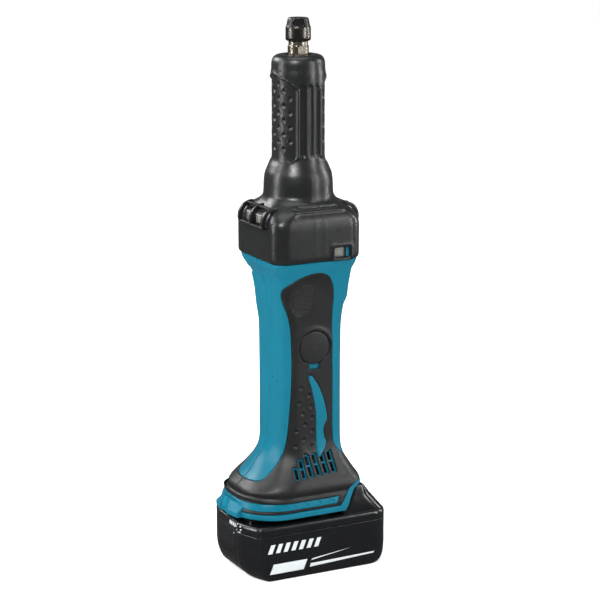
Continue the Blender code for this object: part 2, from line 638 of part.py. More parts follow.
def make_brushes():
    """Both sides of the commutator: holder, brush, spring, cap and outer cover."""
    for name, side in (("front", -1), ("rear", 1)):
        holder = [(4.3, side * 13.0), (6.2, side * 13.0), (6.2, side * 20.5), (4.3, side * 20.5)]
        dress(along_y(f"brush_holder_{name}", holder, "brass", 0, BRUSH_Z, 12), "brass")
        y0, y1 = sorted((side * 11.4, side * 16.0))
        brush = box(f"carbon_brush_{name}", -2.6, 2.6, y0, y1, BRUSH_Z - 2.6, BRUSH_Z + 2.6)
        dress(brush, "carbon")
        spring = coil(f"brush_spring_{name}", 2.6, 0.35, 0.0, 3.4, 3, "bright_steel")
        for vertex in spring.data.vertices:
            px, py, pz = vertex.co
            vertex.co = (px, side * (pz + 16.6 * MM), py * -side + BRUSH_Z * MM)
        dress(spring, "bright_steel")
        cap = [(0, side * 20.9), (6.2, side * 20.9), (6.2, side * 22.3), (0, side * 22.3)]
        dress(along_y(f"brush_cap_{name}", cap, "black_plastic", 0, BRUSH_Z, 12), "black_plastic")
        cover = [(0, side * 22.8), (COVER_R, side * 22.8), (COVER_R, side * 24.4),
                 (COVER_R - 0.9, side * 25.0), (0, side * 25.2)]
        dress(along_y(f"holder_cover_{name}", cover, "black_plastic", COVER_X, BRUSH_Z, 20), "black_plastic")


def coil(name, radius, wire, z0, z1, turns, slot, x=0.0, y=0.0):
    """A round spring: a square-section wire swept along a helix, with flat ends."""
    per_turn, corners = 7, 3
    steps = per_turn * turns
    rings = []
    for k in range(steps + 1):
        turn = 2 * math.pi * k / per_turn
        middle = z0 + wire + (z1 - z0 - 2 * wire) * k / steps
        section = []
        for c in range(corners):
            angle = 2 * math.pi * (c + 0.5) / corners
            r = radius + wire * math.cos(angle)
            section.append((x + r * math.cos(turn), y + r * math.sin(turn), middle + wire * math.sin(angle)))
        rings.append(section)
    return loft(name, rings, slot)


# Switch and electronics ---------------------------------------------------------------------------------
def make_switch():
    dress(box("switch_unit", -8.0, 14.0, -9.0, 9.0, 108.0, 136.0, "black_plastic"), "black_plastic")
    link = box("switch_link", 21.0, 22.5, -4.0, 4.0, 118.0, 213.0, "black_plastic")
    join(link, box("finger", 15.0, 21.6, -3.0, 3.0, 118.0, 121.0))
    dress(link, "black_plastic")
    pivot = (25.0, 0.0, KNOB_MIDDLE_Z)
    outline = [(23.2, KNOB_MIDDLE_Z - 8.0), (35.0, KNOB_MIDDLE_Z - 8.0), (36.6, KNOB_MIDDLE_Z - 6.6),
               (35.4, KNOB_MIDDLE_Z), (36.4, KNOB_MIDDLE_Z + 6.0), (34.6, KNOB_MIDDLE_Z + 8.0),
               (23.2, KNOB_MIDDLE_Z + 8.0)]
    rows = [[(x, y, z) for x, z in outline] for y in (-7.8, 7.8)]
    dress(loft("switch_knob", rows, "black_plastic", pivot), "black_plastic")
    dress(box("controller_board", -16.0, 15.0, -14.0, 14.0, 79.0, 80.6, "circuit_board"), "circuit_board")
    block = box("terminal_block", -38.0, -10.0, -13.0, 13.0, 60.5, 63.0, "black_plastic")
    for y in (-9.0, 9.0):
        join(block, box("blade", -36.0, -14.0, y - 0.5, y + 0.5, 52.0, 61.5))
    dress(block, "black_plastic")


# Battery ------------------------------------------------------------------------------------------------
def make_battery_case():
    radii = (BATTERY_R_FRONT, BATTERY_R_BACK)
    rows = [(0.0, -46.5, 48.0, 33.5, 14.0, 9.0), (1.6, -49.8, 51.6, 36.2, 17.0, 10.0),
            (5.5, -53.6, 55.0, 37.3, 19.0, 12.0), (11.0, -56.2, 56.7, BATTERY_Y) + radii,
            (17.0, BATTERY_X0, BATTERY_X1, BATTERY_Y) + radii,
            (CASE_SEAM_Z - GAP / 2, BATTERY_X0, BATTERY_X1, BATTERY_Y) + radii]
    lower = loft("battery_case_lower", [corner_ring(*row) for row in rows])
    hollow = [(2.2, -46.8, 47.4, 33.4, 12.0, 8.0), (9.0, -53.4, 54.0, 34.9, 16.0, 9.0),
              (40.0, -54.9, 54.4, 34.9, 17.0, 9.0)]
    cut(lower, loft("hollow", [corner_ring(*row) for row in hollow]))
    dress(lower, "gloss_case")


def make_battery_top():
    radii = (BATTERY_R_FRONT, BATTERY_R_BACK)
    rows = [(CASE_SEAM_Z + GAP / 2, BATTERY_X0, BATTERY_X1, BATTERY_Y) + radii,
            (40.4, BATTERY_X0, BATTERY_X1, BATTERY_Y) + radii,
            (DECK_Z, -56.0, 55.6, 36.0, 18.6, 10.6)]
    upper = loft("battery_case_upper", [corner_ring(*row) for row in rows])
    join(upper, box("neck", PLATFORM_X0, 24.0, -20.3, 20.3, 40.6, 52.0))
    join(upper, box("flange", PLATFORM_X0, 24.0, -24.1, 24.1, 51.2, PLATFORM_TOP_Z))
    hump = [(40.5, 18.8, 56.0, 35.4, 4, 10), (46.0, 20.8, 51.8, 34.9, 4, 10), (54.0, 24.3, 44.9, 33.8, 4, 9),
            (59.8, 27.2, 39.9, 32.8, 4, 7), (62.4, 30.6, 36.6, 31.6, 3, 3)]
    join(upper, loft("hump", [corner_ring(*row) for row in hump]))
    cut(upper, loft("hollow", [corner_ring(z, -54.9, 54.4, 34.9, 17.0, 9.0) for z in (30.0, 39.8)]))
    cut(upper, box("board_room", -46.0, 7.0, -17.0, 17.0, 38.0, 49.0))
    for y in (-9.0, 9.0):
        cut(upper, box("terminal_slot", -60.0, -12.0, y - 1.8, y + 1.8, 50.6, 60.0))
    cut(upper, box("button_pocket", 37.5, 70.0, -12.4, 12.4, 43.0, 80.0))
    cut(upper, box("latch_pocket", 10.0, 38.0, -7.6, 7.6, 43.6, 80.0))
    cut(upper, box("lens_pocket", -60.0, -56.3, -14.4, -1.6, 36.6, 41.2))
    cut(upper, along_x("gauge_way", [(0, -70), (GAUGE_R + GAP, -70), (GAUGE_R + GAP, -50), (0, -50)],
                       None, GAUGE_Y, GAUGE_Z))
    dress(upper, "gloss_case")
    dress(box("gauge_lens", -57.4, -56.6, -14.1, -1.9, 36.9, 40.9, "gauge_red"), "gauge_red")
    button = [(0, -57.9), (GAUGE_R - 0.3, -57.9), (GAUGE_R, -57.5), (GAUGE_R, -55.3), (0, -55.3)]
    dress(along_x("gauge_button", button, "black_plastic", GAUGE_Y, GAUGE_Z), "black_plastic")


def along_x(name, profile, slot, y, z):
    """A turned solid about an axis along X: profile points are radius and X."""
    made = turned(name, profile, slot, count=SMALL_ROUND)
    for vertex in made.data.vertices:
        px, py, pz = vertex.co
        vertex.co = (pz, py + y * MM, -px + z * MM)
    return made


def make_release_button():
    outline = [(38.0, 48.6), (49.6, 48.6), (49.9, 49.6), (39.4, 60.8), (38.0, 60.8)]
    button = prism_y("release_button", outline, -12.0, 12.0, "black_plastic")
    join(button, box("arm", 11.0, 39.0, -7.2, 7.2, 51.8, 55.6))
    join(button, box("hook", 12.0, 17.0, -7.2, 7.2, 53.0, 59.9))
    dress(button, "black_plastic")
    dress(coil("button_spring", 2.6, 0.35, 43.4, 48.2, 3, "bright_steel", 43.6, 0.0), "bright_steel")


def make_cells():
    """Two welded rows of five cells that lie across the case, each row one corrugated block."""
    pitch, radius, half, waist, middle_x = 18.6, 9.1, 30.6, 3.0, 3.0
    lowest = math.degrees(math.asin(waist / radius))
    arc_steps = 4
    for name, middle_z in (("cell_row_lower", 11.9), ("cell_row_upper", 30.3)):
        outline = []
        for side, order in ((1, range(2, -3, -1)), (-1, range(-2, 3))):
            for k in order:
                for step in range(arc_steps + 1):
                    turn = math.radians(lowest + (180 - 2 * lowest) * step / arc_steps)
                    x = middle_x + k * pitch + side * radius * math.cos(turn)
                    outline.append((x, middle_z + side * radius * math.sin(turn)))
        dress(prism_y(name, outline, -half, half, "cell_sleeve"), "cell_sleeve")
    dress(box("battery_board", -42.0, 6.0, -15.0, 15.0, 42.4, 44.0, "circuit_board"), "circuit_board")


def main():
    clear_scene()
    make_grips()
    make_housing()
    make_housing_screws()
    make_boot()
    make_casting()
    make_nose_bearings()
    make_spindle()
    make_collet()
    make_stator()
    make_armature()
    make_fan()
    make_brushes()
    make_switch()
    make_battery_case()
    make_battery_top()
    make_release_button()
    make_cells()


main()
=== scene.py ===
"""Looks of the long-neck cordless die grinder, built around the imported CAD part.

Lengths in this file are millimetres in the part's own frame and become metres when a mesh is made. Most
visible shells are patches: an outline drawn on a smooth body surface, filled with triangles, lifted by a
relief rule and closed to a solid of even thickness.
"""
import json
import math

import bmesh
import bpy
import numpy as np
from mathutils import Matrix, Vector
from mathutils.geometry import delaunay_2d_cdt


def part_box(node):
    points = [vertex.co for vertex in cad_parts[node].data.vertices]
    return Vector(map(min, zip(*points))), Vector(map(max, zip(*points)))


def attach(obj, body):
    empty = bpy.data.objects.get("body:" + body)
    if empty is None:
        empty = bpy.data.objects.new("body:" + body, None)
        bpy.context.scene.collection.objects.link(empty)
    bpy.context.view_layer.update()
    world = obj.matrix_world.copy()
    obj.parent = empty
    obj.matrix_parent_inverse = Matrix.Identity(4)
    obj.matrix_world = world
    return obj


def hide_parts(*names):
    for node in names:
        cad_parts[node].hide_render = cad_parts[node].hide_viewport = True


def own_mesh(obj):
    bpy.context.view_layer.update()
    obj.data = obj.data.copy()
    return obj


MM = 0.001
FLAT = 44.0  # the length round a quarter of the body, by which u is laid out flat
DEGREE = 0.342  # the length of one degree round the nose
CUT_TURN, CUT_POWER = math.radians(24.0), 24  # the turn and the sharpness of the pack's cut corners
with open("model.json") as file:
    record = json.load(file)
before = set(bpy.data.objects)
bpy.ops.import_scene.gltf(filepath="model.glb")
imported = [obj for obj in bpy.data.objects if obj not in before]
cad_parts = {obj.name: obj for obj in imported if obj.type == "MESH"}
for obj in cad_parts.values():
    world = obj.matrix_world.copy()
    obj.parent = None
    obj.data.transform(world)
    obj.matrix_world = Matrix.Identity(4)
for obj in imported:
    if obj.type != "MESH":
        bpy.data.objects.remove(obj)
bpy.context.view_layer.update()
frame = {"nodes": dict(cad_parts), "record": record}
NODES = frame["nodes"]


# Numbers along a line ------------------------------------------------------------------------------------
def smooth_rule(keys, values):
    """A monotone cubic through the given values, as a rule that takes arrays."""
    x, y = np.array(keys, float), np.array(values, float)
    h, d = np.diff(x), np.diff(y) / np.diff(x)
    slope = np.zeros(len(x))
    for i in range(1, len(x) - 1):
        if d[i - 1] * d[i] > 0:
            w1, w2 = 2 * h[i] + h[i - 1], h[i] + 2 * h[i - 1]
            slope[i] = (w1 + w2) / (w1 / d[i - 1] + w2 / d[i])
    slope[0], slope[-1] = d[0], d[-1]

    def rule(at):
        at = np.clip(np.asarray(at, float), x[0], x[-1])
        i = np.clip(np.searchsorted(x, at, side="right") - 1, 0, len(x) - 2)
        t = (at - x[i]) / h[i]
        return ((2 * t**3 - 3 * t**2 + 1) * y[i] + (t**3 - 2 * t**2 + t) * h[i] * slope[i]
                + (3 * t**2 - 2 * t**3) * y[i + 1] + (t**3 - t**2) * h[i] * slope[i + 1])
    return rule


def fade(value, low, high):
    """0 below low, 1 above high and a smooth step between."""
    t = np.clip((np.asarray(value, float) - low) / (high - low), 0.0, 1.0)
    return t * t * (3 - 2 * t)


def hill(value, centre, width):
    return np.exp(-(((np.asarray(value, float) - centre) / width) ** 2))


# Body surfaces -------------------------------------------------------------------------------------------
def along_corner(across, reach, r):
    """Path length from a face's middle to the point this far across, on the flat or round its corner."""
    across = np.minimum(np.abs(across), reach - 0.001)
    flat = reach - r
    return np.where(across <= flat, across, flat + r * np.arcsin(np.clip((across - flat) / r, 0, 1)))


class Skin:
    """A smooth surface through rounded-rectangle sections.

    u runs round it: 0 in the middle of the -Y face, 1 in the middle of the +X face, 2 or -2 in the middle of
    the +Y face and -1 in the middle of the -X face. v runs up it in millimetres along the profile.
    """

    def __init__(self, rows, cut=False):
        rows = np.array([tuple(row) for row in rows], float)
        z, x0, x1, y = rows[:, 0], rows[:, 1], rows[:, 2], rows[:, 3]
        steps = np.hypot(np.diff(z), np.maximum(np.abs(np.diff(y)), np.abs(np.diff(x1 - x0)) / 2))
        self.keys = np.concatenate([[0.0], np.cumsum(steps)])
        self.rules = [smooth_rule(self.keys, rows[:, k]) for k in range(6)]
        self.cut = cut
        self.top = self.keys[-1]
        fine = np.linspace(0, self.top, 4000)
        self.fine_v, self.fine_z = fine, self.rules[0](fine)

    def v_at(self, z):
        return np.interp(z, self.fine_z, self.fine_v)

    def quarter(self, u, v):
        """Half extents, corner radius and path length of the quarter that u lies in."""
        x0, x1, y, r_front, r_back = [self.rules[k](v) for k in range(1, 6)]
        ahead = np.asarray(u) >= 0
        reach = np.where(ahead, x1, -x0)
        r = np.minimum(np.where(ahead, r_back, r_front), np.minimum(reach, y) - 0.01)
        return reach, y, r, reach - r + r * math.pi / 2 + y - r

    def base(self, u, v):
        u, v = np.broadcast_arrays(np.asarray(u, float), np.asarray(v, float))
        reach, half, r, length = self.quarter(u, v)
        turn = np.abs(u)
        s = np.where(turn <= 1, turn, 2 - turn) * length
        flat = reach - r
        angle = np.clip((s - flat) / r, 0, math.pi / 2)
        reach_out = r
        if self.cut:
            lean = np.maximum(np.cos(math.pi / 2 - angle - CUT_TURN), 0.05) / 0.964
            sharp = np.cos(angle) ** CUT_POWER + np.sin(angle) ** CUT_POWER + lean ** CUT_POWER
            reach_out = r * np.where(u < 0, sharp ** (-1 / CUT_POWER), 1.0)
        x = np.where(s < flat, s, flat + reach_out * np.sin(angle))
        y = np.where(s < flat, -half, -(half - r) - reach_out * np.cos(angle))
        last = s > flat + r * math.pi / 2
        x = np.where(last, reach, x)
        y = np.where(last, -(length - s), y)
        x = np.where(u < 0, -x, x)
        y = np.where(turn > 1, -y, y)
        return np.stack([x, y, self.rules[0](v)], axis=-1)

    def point(self, u, v, height=0.0):
        u, v = np.asarray(u, float), np.asarray(v, float)
        du, dv = 0.004, 0.15
        across = self.base(u + du, v) - self.base(u - du, v)
        v_low, v_high = np.maximum(v - dv, 0.0), np.minimum(v + dv, self.top)
        along = self.base(u, v_high) - self.base(u, v_low)
        normal = np.cross(across, along)
        normal /= np.maximum(np.linalg.norm(normal, axis=-1, keepdims=True), 1e-9)
        return self.base(u, v) + normal * np.asarray(height, float)[..., None]

    def on_front(self, x, z):
        """u, v of the point on the -Y half that has this x and z."""
        v = self.v_at(z)
        u = np.where(np.asarray(x) < 0, -1.0, 1.0)
        reach, _, r, length = self.quarter(u, v)
        return np.stack([u * along_corner(x, reach, r) / length, v], axis=-1)

    def on_side(self, side, y, z):
        """u, v of the point on the -Y half of the +X or -X side that has this y and z."""
        v = self.v_at(z)
        _, half, r, length = self.quarter(float(side), v)
        return np.stack([side * (1 - along_corner(y, half, r) / length), v], axis=-1)

    def round_length(self, u, v):
        """The length round the quarter that u lies in."""
        return float(self.quarter(np.array([u]), np.array([v]))[3][0])


def curve(points, step, ring=True, rounds=2):
    """A line through given points, cut at its corners a little and sampled evenly."""
    line = np.array(points, float)
    for _ in range(rounds):
        nxt = np.roll(line, -1, axis=0)
        cut = np.stack([0.78 * line + 0.22 * nxt, 0.22 * line + 0.78 * nxt], axis=1).reshape(-1, line.shape[1])
        line = cut if ring else np.vstack([line[:1], cut[:-2][1:], line[-1:]])
    return spaced(line, step, ring)


def spaced(line, step, ring=True):
    """The same line with points at most one step apart."""
    line = np.array(line, float)
    out = []
    for i in range(len(line) if ring else len(line) - 1):
        a, b = line[i], line[(i + 1) % len(line)]
        pieces = max(1, int(math.ceil(np.linalg.norm((b - a)[:2]) / step)))
        out += [a + (b - a) * k / pieces for k in range(pieces)]
    if not ring:
        out.append(line[-1])
    kept = [out[0]]
    for p in out[1:]:
        if np.linalg.norm(p - kept[-1]) > step * 0.3:
            kept.append(p)
    return np.array(kept)


def disc_line(x, z, r):
    turn = np.linspace(0, 2 * math.pi, 28, endpoint=False)
    return np.stack([x + r * np.cos(turn), z + r * np.sin(turn)], axis=-1)


def corner_arc(x, z, r, start):
    """Five points round a quarter circle that starts at an angle in degrees."""
    return [(x + r * math.cos(t), z + r * math.sin(t)) for t in np.radians(np.arange(start, start + 91, 22.5))]


def round_box(x0, x1, z0, z1, r):
    """A closed rectangle line with round corners."""
    corners = ((x0 + r, z0 + r, 180), (x1 - r, z0 + r, 270), (x1 - r, z1 - r, 0), (x0 + r, z1 - r, 90))
    return spaced([p for x, z, start in corners for p in corner_arc(x, z, r, start)], 0.8)


def smooth_path(points, step):
    """A dense smooth path through points."""
    points = np.array(points, float)
    far = np.concatenate([[0], np.cumsum(np.linalg.norm(np.diff(points, axis=0), axis=1))])
    rules = [smooth_rule(far, points[:, k]) for k in range(points.shape[1])]
    at = np.linspace(0, far[-1], max(4, int(far[-1] / step)))
    return np.stack([rule(at) for rule in rules], axis=-1)


def inside(points, loops):
    """Even-odd test of points against closed loops."""
    hit = np.zeros(len(points), bool)
    px, py = points[:, 0], points[:, 1]
    for loop in loops:
        ax, ay = loop[:, 0], loop[:, 1]
        bx, by = np.roll(ax, -1), np.roll(ay, -1)
        for i in range(len(loop)):
            if ay[i] == by[i]:
                continue
            crosses = (ay[i] > py) != (by[i] > py)
            hit ^= crosses & (px < (bx[i] - ax[i]) * (py - ay[i]) / (by[i] - ay[i]) + ax[i])
    return hit


def edge_distance(points, starts, ends):
    """Distance from each point to the nearest of the given line pieces."""
    best = np.full(len(points), 1e9)
    for a, b in zip(starts, ends):
        d = b - a
        t = np.clip(((points - a) @ d) / max(d @ d, 1e-12), 0, 1)
        best = np.minimum(best, np.hypot(*(points - a - t[:, None] * d).T))
    return best


# Solids --------------------------------------------------------------------------------------------------
def added(name, data):
    made = bpy.data.objects.new(name, data)
    bpy.context.scene.collection.objects.link(made)
    return made


def mesh_object(name, points, faces, looks, smooth=True, sharp=45.0):
    mesh = bpy.data.meshes.new(name)
    mesh.from_pydata((np.asarray(points, float) * MM).tolist(), [], [tuple(int(i) for i in f) for f in faces])
    mesh.validate()
    made = added(name, mesh)
    for one in looks if isinstance(looks, list) else [looks]:
        mesh.materials.append(one)
    if smooth:
        mesh.shade_smooth()
        mesh.set_sharp_from_angle(angle=math.radians(sharp))
    return made


def inner_points(low, high, step):
    """A triangular grid of points over a rectangle."""
    rows = []
    for k, v in enumerate(np.arange(low[1] + step / 2, high[1], step)):
        across = np.arange(low[0] + step * (0.5 + 0.5 * (k % 2)), high[0], step)
        rows.append(np.stack([across, np.full(len(across), v)], 1))
    return np.vstack(rows)


def edge_points(starts, ends, edge, flat):
    """Points in rows beside the outline, where its edge is rounded."""
    rings = []
    for a, b in zip(starts, ends):
        d = (b - a) / max(np.linalg.norm(b - a), 1e-9)
        side = np.array([-d[1], d[0]])
        for share in (0.12, 0.4, 0.8, 1.5):
            rings.append((*((a + b) / 2 + side * edge * share), edge * share))
            rings.append((*((a + b) / 2 - side * edge * share), edge * share))
    rings = np.array(rings)
    rings = rings[inside(rings[:, :2], flat)]
    return rings[edge_distance(rings[:, :2], starts, ends) > rings[:, 2] * 0.9][:, :2]


def closed_faces(tris, count):
    """Top triangles, the same turned over for the bottom, and walls along the open edges."""
    edges = [edge for a, b, c in tris for edge in ((a, b), (b, c), (c, a))]
    sided = set(edges)
    walls = [(b, a, a + count, b + count) for a, b in edges if (b, a) not in sided]
    return [tuple(t) for t in tris] + [(a + count, c + count, b + count) for a, b, c in tris] + walls


def patch(skin, loops, relief=None, step=1.6, edge=0.45, thick=1.9, seams=(), extra=(), floor=0.0, zones=()):
    """Points and faces of a solid whose outer face is the part of a skin inside the loops.

    seams are u values where the outline isn't rounded, extra holds more u, v points for fine relief, floor is
    the height of the outer face, and zones are loops whose inside gets material 1.
    """
    everything = np.vstack(loops)
    scale = skin.round_length(everything[:, 0].mean(), float(np.median(everything[:, 1])))
    flat = [loop * (scale, 1.0) for loop in loops]
    zone_lines = [zone * (scale, 1.0) for zone in zones]
    starts, ends = [], []
    for loop in flat:
        for a, b in zip(loop, np.roll(loop, -1, axis=0)):
            if not any(abs(a[0] - s * scale) < 1e-6 and abs(b[0] - s * scale) < 1e-6 for s in seams):
                starts.append(a)
                ends.append(b)
    grid = inner_points(np.vstack(flat).min(0), np.vstack(flat).max(0), step)
    grid = grid[inside(grid, flat)]
    grid = grid[edge_distance(grid, starts, ends) > max(edge * 1.5, step * 0.45)]
    for s in seams:
        grid = grid[np.abs(grid[:, 0] - s * scale) > step * 0.45]
    fine = np.array(extra, float).reshape(-1, 2) * (scale, 1.0)
    if len(fine):
        fine = fine[inside(fine, flat)]
        fine = fine[edge_distance(fine, starts, ends) > 0.15]
        near = [np.min(np.abs(fine[:, None, 0] - some[:, 0]) + np.abs(fine[:, None, 1] - some[:, 1]), axis=0)
                for some in np.array_split(grid, max(1, len(grid) // 500))]
        grid = grid[np.concatenate(near) > step * 0.35]
    every = np.vstack(flat + zone_lines + [edge_points(starts, ends, edge, flat), fine, grid])
    borders, at = [], 0
    for loop in flat + zone_lines:
        borders += [(at + i, at + (i + 1) % len(loop)) for i in range(len(loop))]
        at += len(loop)
    verts, _, tris, _, _, _ = delaunay_2d_cdt([Vector(p) for p in every], borders, [], 0, 1e-5)
    flat_points = np.array([(p.x, p.y) for p in verts])
    tris = np.array([t for t in tris if len(t) == 3])
    tris = tris[inside(flat_points[tris].mean(1), flat)]
    used = np.unique(tris)
    index = np.full(len(flat_points), -1)
    index[used] = np.arange(len(used))
    flat_points, tris = flat_points[used], index[tris]
    short = np.clip(edge - edge_distance(flat_points, starts, ends), 0, edge)
    height = floor - (edge - np.sqrt(np.maximum(edge**2 - short**2, 0)))
    u, v = flat_points[:, 0] / scale, flat_points[:, 1]
    if relief is not None:
        height = height + relief(u, v)
    faces = closed_faces(tris, len(u))
    marks = np.zeros(len(faces), int)
    if zone_lines:
        marks[:len(tris)] = inside(flat_points[tris].mean(1), zone_lines)
    return np.vstack([skin.point(u, v, height), skin.point(u, v, np.full(len(u), floor - thick))]), faces, marks


def gather(name, pieces, looks, sharp=45.0):
    """One object from several point and face lists."""
    faces, marks, at = [], [], 0
    for points, ends, *marked in pieces:
        faces += [tuple(i + at for i in face) for face in ends]
        marks += list(marked[0]) if marked else [0] * len(ends)
        at += len(points)
    made = mesh_object(name, np.vstack([piece[0] for piece in pieces]), faces, looks, sharp=sharp)
    if any(marks):
        made.data.polygons.foreach_set("material_index", np.array(marks, np.int32))
    return made


def reworked(made, change):
    """Runs one edit on an object's mesh."""
    work = bmesh.new()
    work.from_mesh(made.data)
    change(work)
    work.to_mesh(made.data)
    work.free()
    return made


def faced_outward(work):
    bmesh.ops.recalc_face_normals(work, faces=work.faces)


def flipped(piece):
    """A piece mirrored through the Y = 0 plane."""
    points = np.array(piece[0]) * (1, -1, 1)
    return (points, [tuple(reversed(f)) for f in piece[1]]) + tuple(piece[2:])


def stacked(rings, caps=True):
    """A solid from closed rings of points laid one after another, with or without flat ends."""
    n, rows = len(rings[0]), len(rings)
    faces = [(k * n + i, k * n + (i + 1) % n, (k + 1) * n + (i + 1) % n, (k + 1) * n + i)
             for k in range(rows - 1) for i in range(n)]
    if caps:
        faces += [tuple(range(n))[::-1], tuple(range((rows - 1) * n, rows * n))]
    return np.vstack(rings), faces


def squared(count, power):
    """Unit points round a square with soft corners; a smaller power makes it squarer."""
    turn = np.linspace(0, 2 * math.pi, count, endpoint=False)
    c, d = np.cos(turn), np.sin(turn)
    return np.sign(c) * np.abs(c) ** power, np.sign(d) * np.abs(d) ** power


def wrapped(skin, v_values, u_values, relief=None, caps=True):
    """A structured solid right round a skin."""
    u, v = np.meshgrid(u_values, v_values)
    height = np.zeros(u.shape) if relief is None else relief(u, v)
    return stacked(skin.point(u, v, height), caps)


def round_u(*stretches):
    """u values right round a skin: low, high and count of each stretch."""
    return np.concatenate([np.linspace(low, high, count, endpoint=False) for low, high, count in stretches])


def slab(outline, layers, side=1):
    """A flat solid with its outline in x and z; each layer is a y and the outline's share there."""
    outline = np.array(outline, float)
    rings = []
    for y, share in layers:
        ring = outline.mean(0) + (outline - outline.mean(0)) * share
        rings.append(np.stack([side * ring[:, 0], np.full(len(ring), y), ring[:, 1]], 1))
    return stacked(rings)


def turned(profile, count, rule=None, middle=(0.0, 0.0)):
    """A turned solid about a vertical axis from radius, height points; the profile closes on itself."""
    turn = np.linspace(0, 2 * math.pi, count, endpoint=False)
    points = []
    for r, z in profile:
        radius = np.full(count, float(r)) if rule is None else rule(turn, r, z)
        points.append(np.stack([middle[0] + radius * np.cos(turn), middle[1] + radius * np.sin(turn),
                                np.full(count, float(z))], 1))
    faces = []
    for k, (r, _) in enumerate(profile):
        m = (k + 1) % len(profile)
        if r > 1e-6 or profile[m][0] > 1e-6:
            faces += [(k * count + i, k * count + (i + 1) % count, m * count + (i + 1) % count, m * count + i)
                      for i in range(count)]
    return np.vstack(points), faces


def rounded(profile, radius, steps=3):
    """A profile with each corner replaced by a small arc-like curve."""
    out, n = [], len(profile)
    for i in range(n):
        a, b, c = (np.array(profile[k % n], float) for k in (i - 1, i, i + 1))
        if b[0] < 1e-6:
            out.append(tuple(b))
            continue
        first, second = a - b, c - b
        la, lc = np.linalg.norm(first), np.linalg.norm(second)
        reach = min(radius, la * 0.4, lc * 0.4)
        p, q = b + first / la * reach, b + second / lc * reach
        for t in (k / steps for k in range(steps + 1)):
            out.append(tuple((1 - t) ** 2 * p + 2 * t * (1 - t) * b + t * t * q))
    return out


def swept(path, width, depth, up, power=4.0, count=20):
    """A bar with a rounded-rectangle section along a path; width lies across it and depth along up."""
    across, over = squared(count, 2 / power)
    rings = []
    for i, p in enumerate(path):
        d = path[min(i + 1, len(path) - 1)] - path[max(i - 1, 0)]
        d /= np.linalg.norm(d)
        side = np.cross(d, up)
        side /= np.linalg.norm(side)
        lift = np.cross(side, d)
        end = 1.0 if 0 < i < len(path) - 1 else 0.72
        rings.append(p + end * (across[:, None] * side * width / 2 + over[:, None] * lift * depth / 2))
    return stacked(rings)


# Materials -----------------------------------------------------------------------------------------------
def look(name, colour, rough, metal=0.0, vary=0.10, vary_scale=60.0, grain=0.10, grain_scale=1400.0,
         rough_vary=0.08, wear=0.0, wear_colour=None, coat=0.0, rings=0.0, leather=0.0, specular=0.5, weave=0.0,
         streak=0.0):
    """A procedural material: colour drift, roughness drift, fine grain in the bump and lighter worn edges."""
    made = bpy.data.materials.new(name)
    made.use_nodes = True
    tree = made.node_tree
    shader = tree.nodes["Principled BSDF"]

    def node(kind, wires=(), **values):
        one = tree.nodes.new("ShaderNode" + kind)
        for key, value in values.items():
            one.inputs[key.replace("_", " ")].default_value = value
        for key, wire in wires:
            tree.links.new(wire, one.inputs[key])
        return one

    def noise(scale, detail, roughness=0.55):
        one = node("TexNoise", [("Vector", where)], Scale=scale, Detail=detail, Roughness=roughness)
        return one.outputs["Fac"]

    def ranged(value, low, high, start=0.3, end=0.7):
        return node("MapRange", [("Value", value)], From_Min=start, From_Max=end, To_Min=low,
                    To_Max=high).outputs["Result"]

    def mixed(share, first, second):
        one = node("Mix")
        one.data_type = "RGBA"
        tree.links.new(share, one.inputs["Factor"])
        for socket, value in ((one.inputs["A"], first), (one.inputs["B"], second)):
            if isinstance(value, tuple):
                socket.default_value = value + (1.0,)
            else:
                tree.links.new(value, socket)
        return one.outputs["Result"]

    def bump(height, strength, distance, before):
        wires = [("Height", height)] + ([] if before is None else [("Normal", before)])
        return node("Bump", wires, Strength=strength, Distance=distance).outputs["Normal"]

    where = node("TexCoord").outputs["Object"]
    darker = tuple(c * (1 - vary) for c in colour)
    lighter = tuple(min(1.0, c * (1 + vary)) for c in colour)
    tint = mixed(ranged(noise(vary_scale, 4.0), 0.0, 1.0), darker, lighter)
    if wear:
        share = ranged(node("NewGeometry").outputs["Pointiness"], 0.0, wear, 0.52, 0.60)
        times = node("Math")
        times.operation = "MULTIPLY"
        tree.links.new(share, times.inputs[0])
        tree.links.new(ranged(noise(260.0, 5.0), 0.2, 1.0), times.inputs[1])
        tint = mixed(times.outputs[0], tint, wear_colour)
    low, high = max(0.03, rough - rough_vary), min(1.0, rough + rough_vary)
    tree.links.new(tint, shader.inputs["Base Color"])
    tree.links.new(ranged(noise(140.0, 5.0, 0.65), low, high), shader.inputs["Roughness"])
    shader.inputs["Metallic"].default_value = metal
    shader.inputs["Specular IOR Level"].default_value = specular
    if coat:
        shader.inputs["Coat Weight"].default_value = coat
        shader.inputs["Coat Roughness"].default_value = 0.08
    if streak:
        shader.inputs["Anisotropic"].default_value = streak
        along = node("Tangent")
        along.direction_type = "RADIAL"
        along.axis = "Z"
        tree.links.new(along.outputs["Tangent"], shader.inputs["Tangent"])
    relief = None
    if rings:
        wave = node("TexWave", [("Vector", where)], Scale=900.0, Distortion=0.6)
        wave.bands_direction = "Z"
        relief = bump(wave.outputs["Fac"], rings, 0.00012, relief)
    if leather:
        cells = node("TexVoronoi", [("Vector", where)], Scale=1100.0)
        relief = bump(cells.outputs["Distance"], leather, 0.0004, relief)
    if weave:
        wave = node("TexWave", [("Vector", where)], Scale=700.0)
        relief = bump(wave.outputs["Fac"], weave, 0.0002, relief)
    if grain:
        relief = bump(noise(grain_scale, 2.0), grain, 0.00025, relief)
    if relief is not None:
        tree.links.new(relief, shader.inputs["Normal"])
    return made


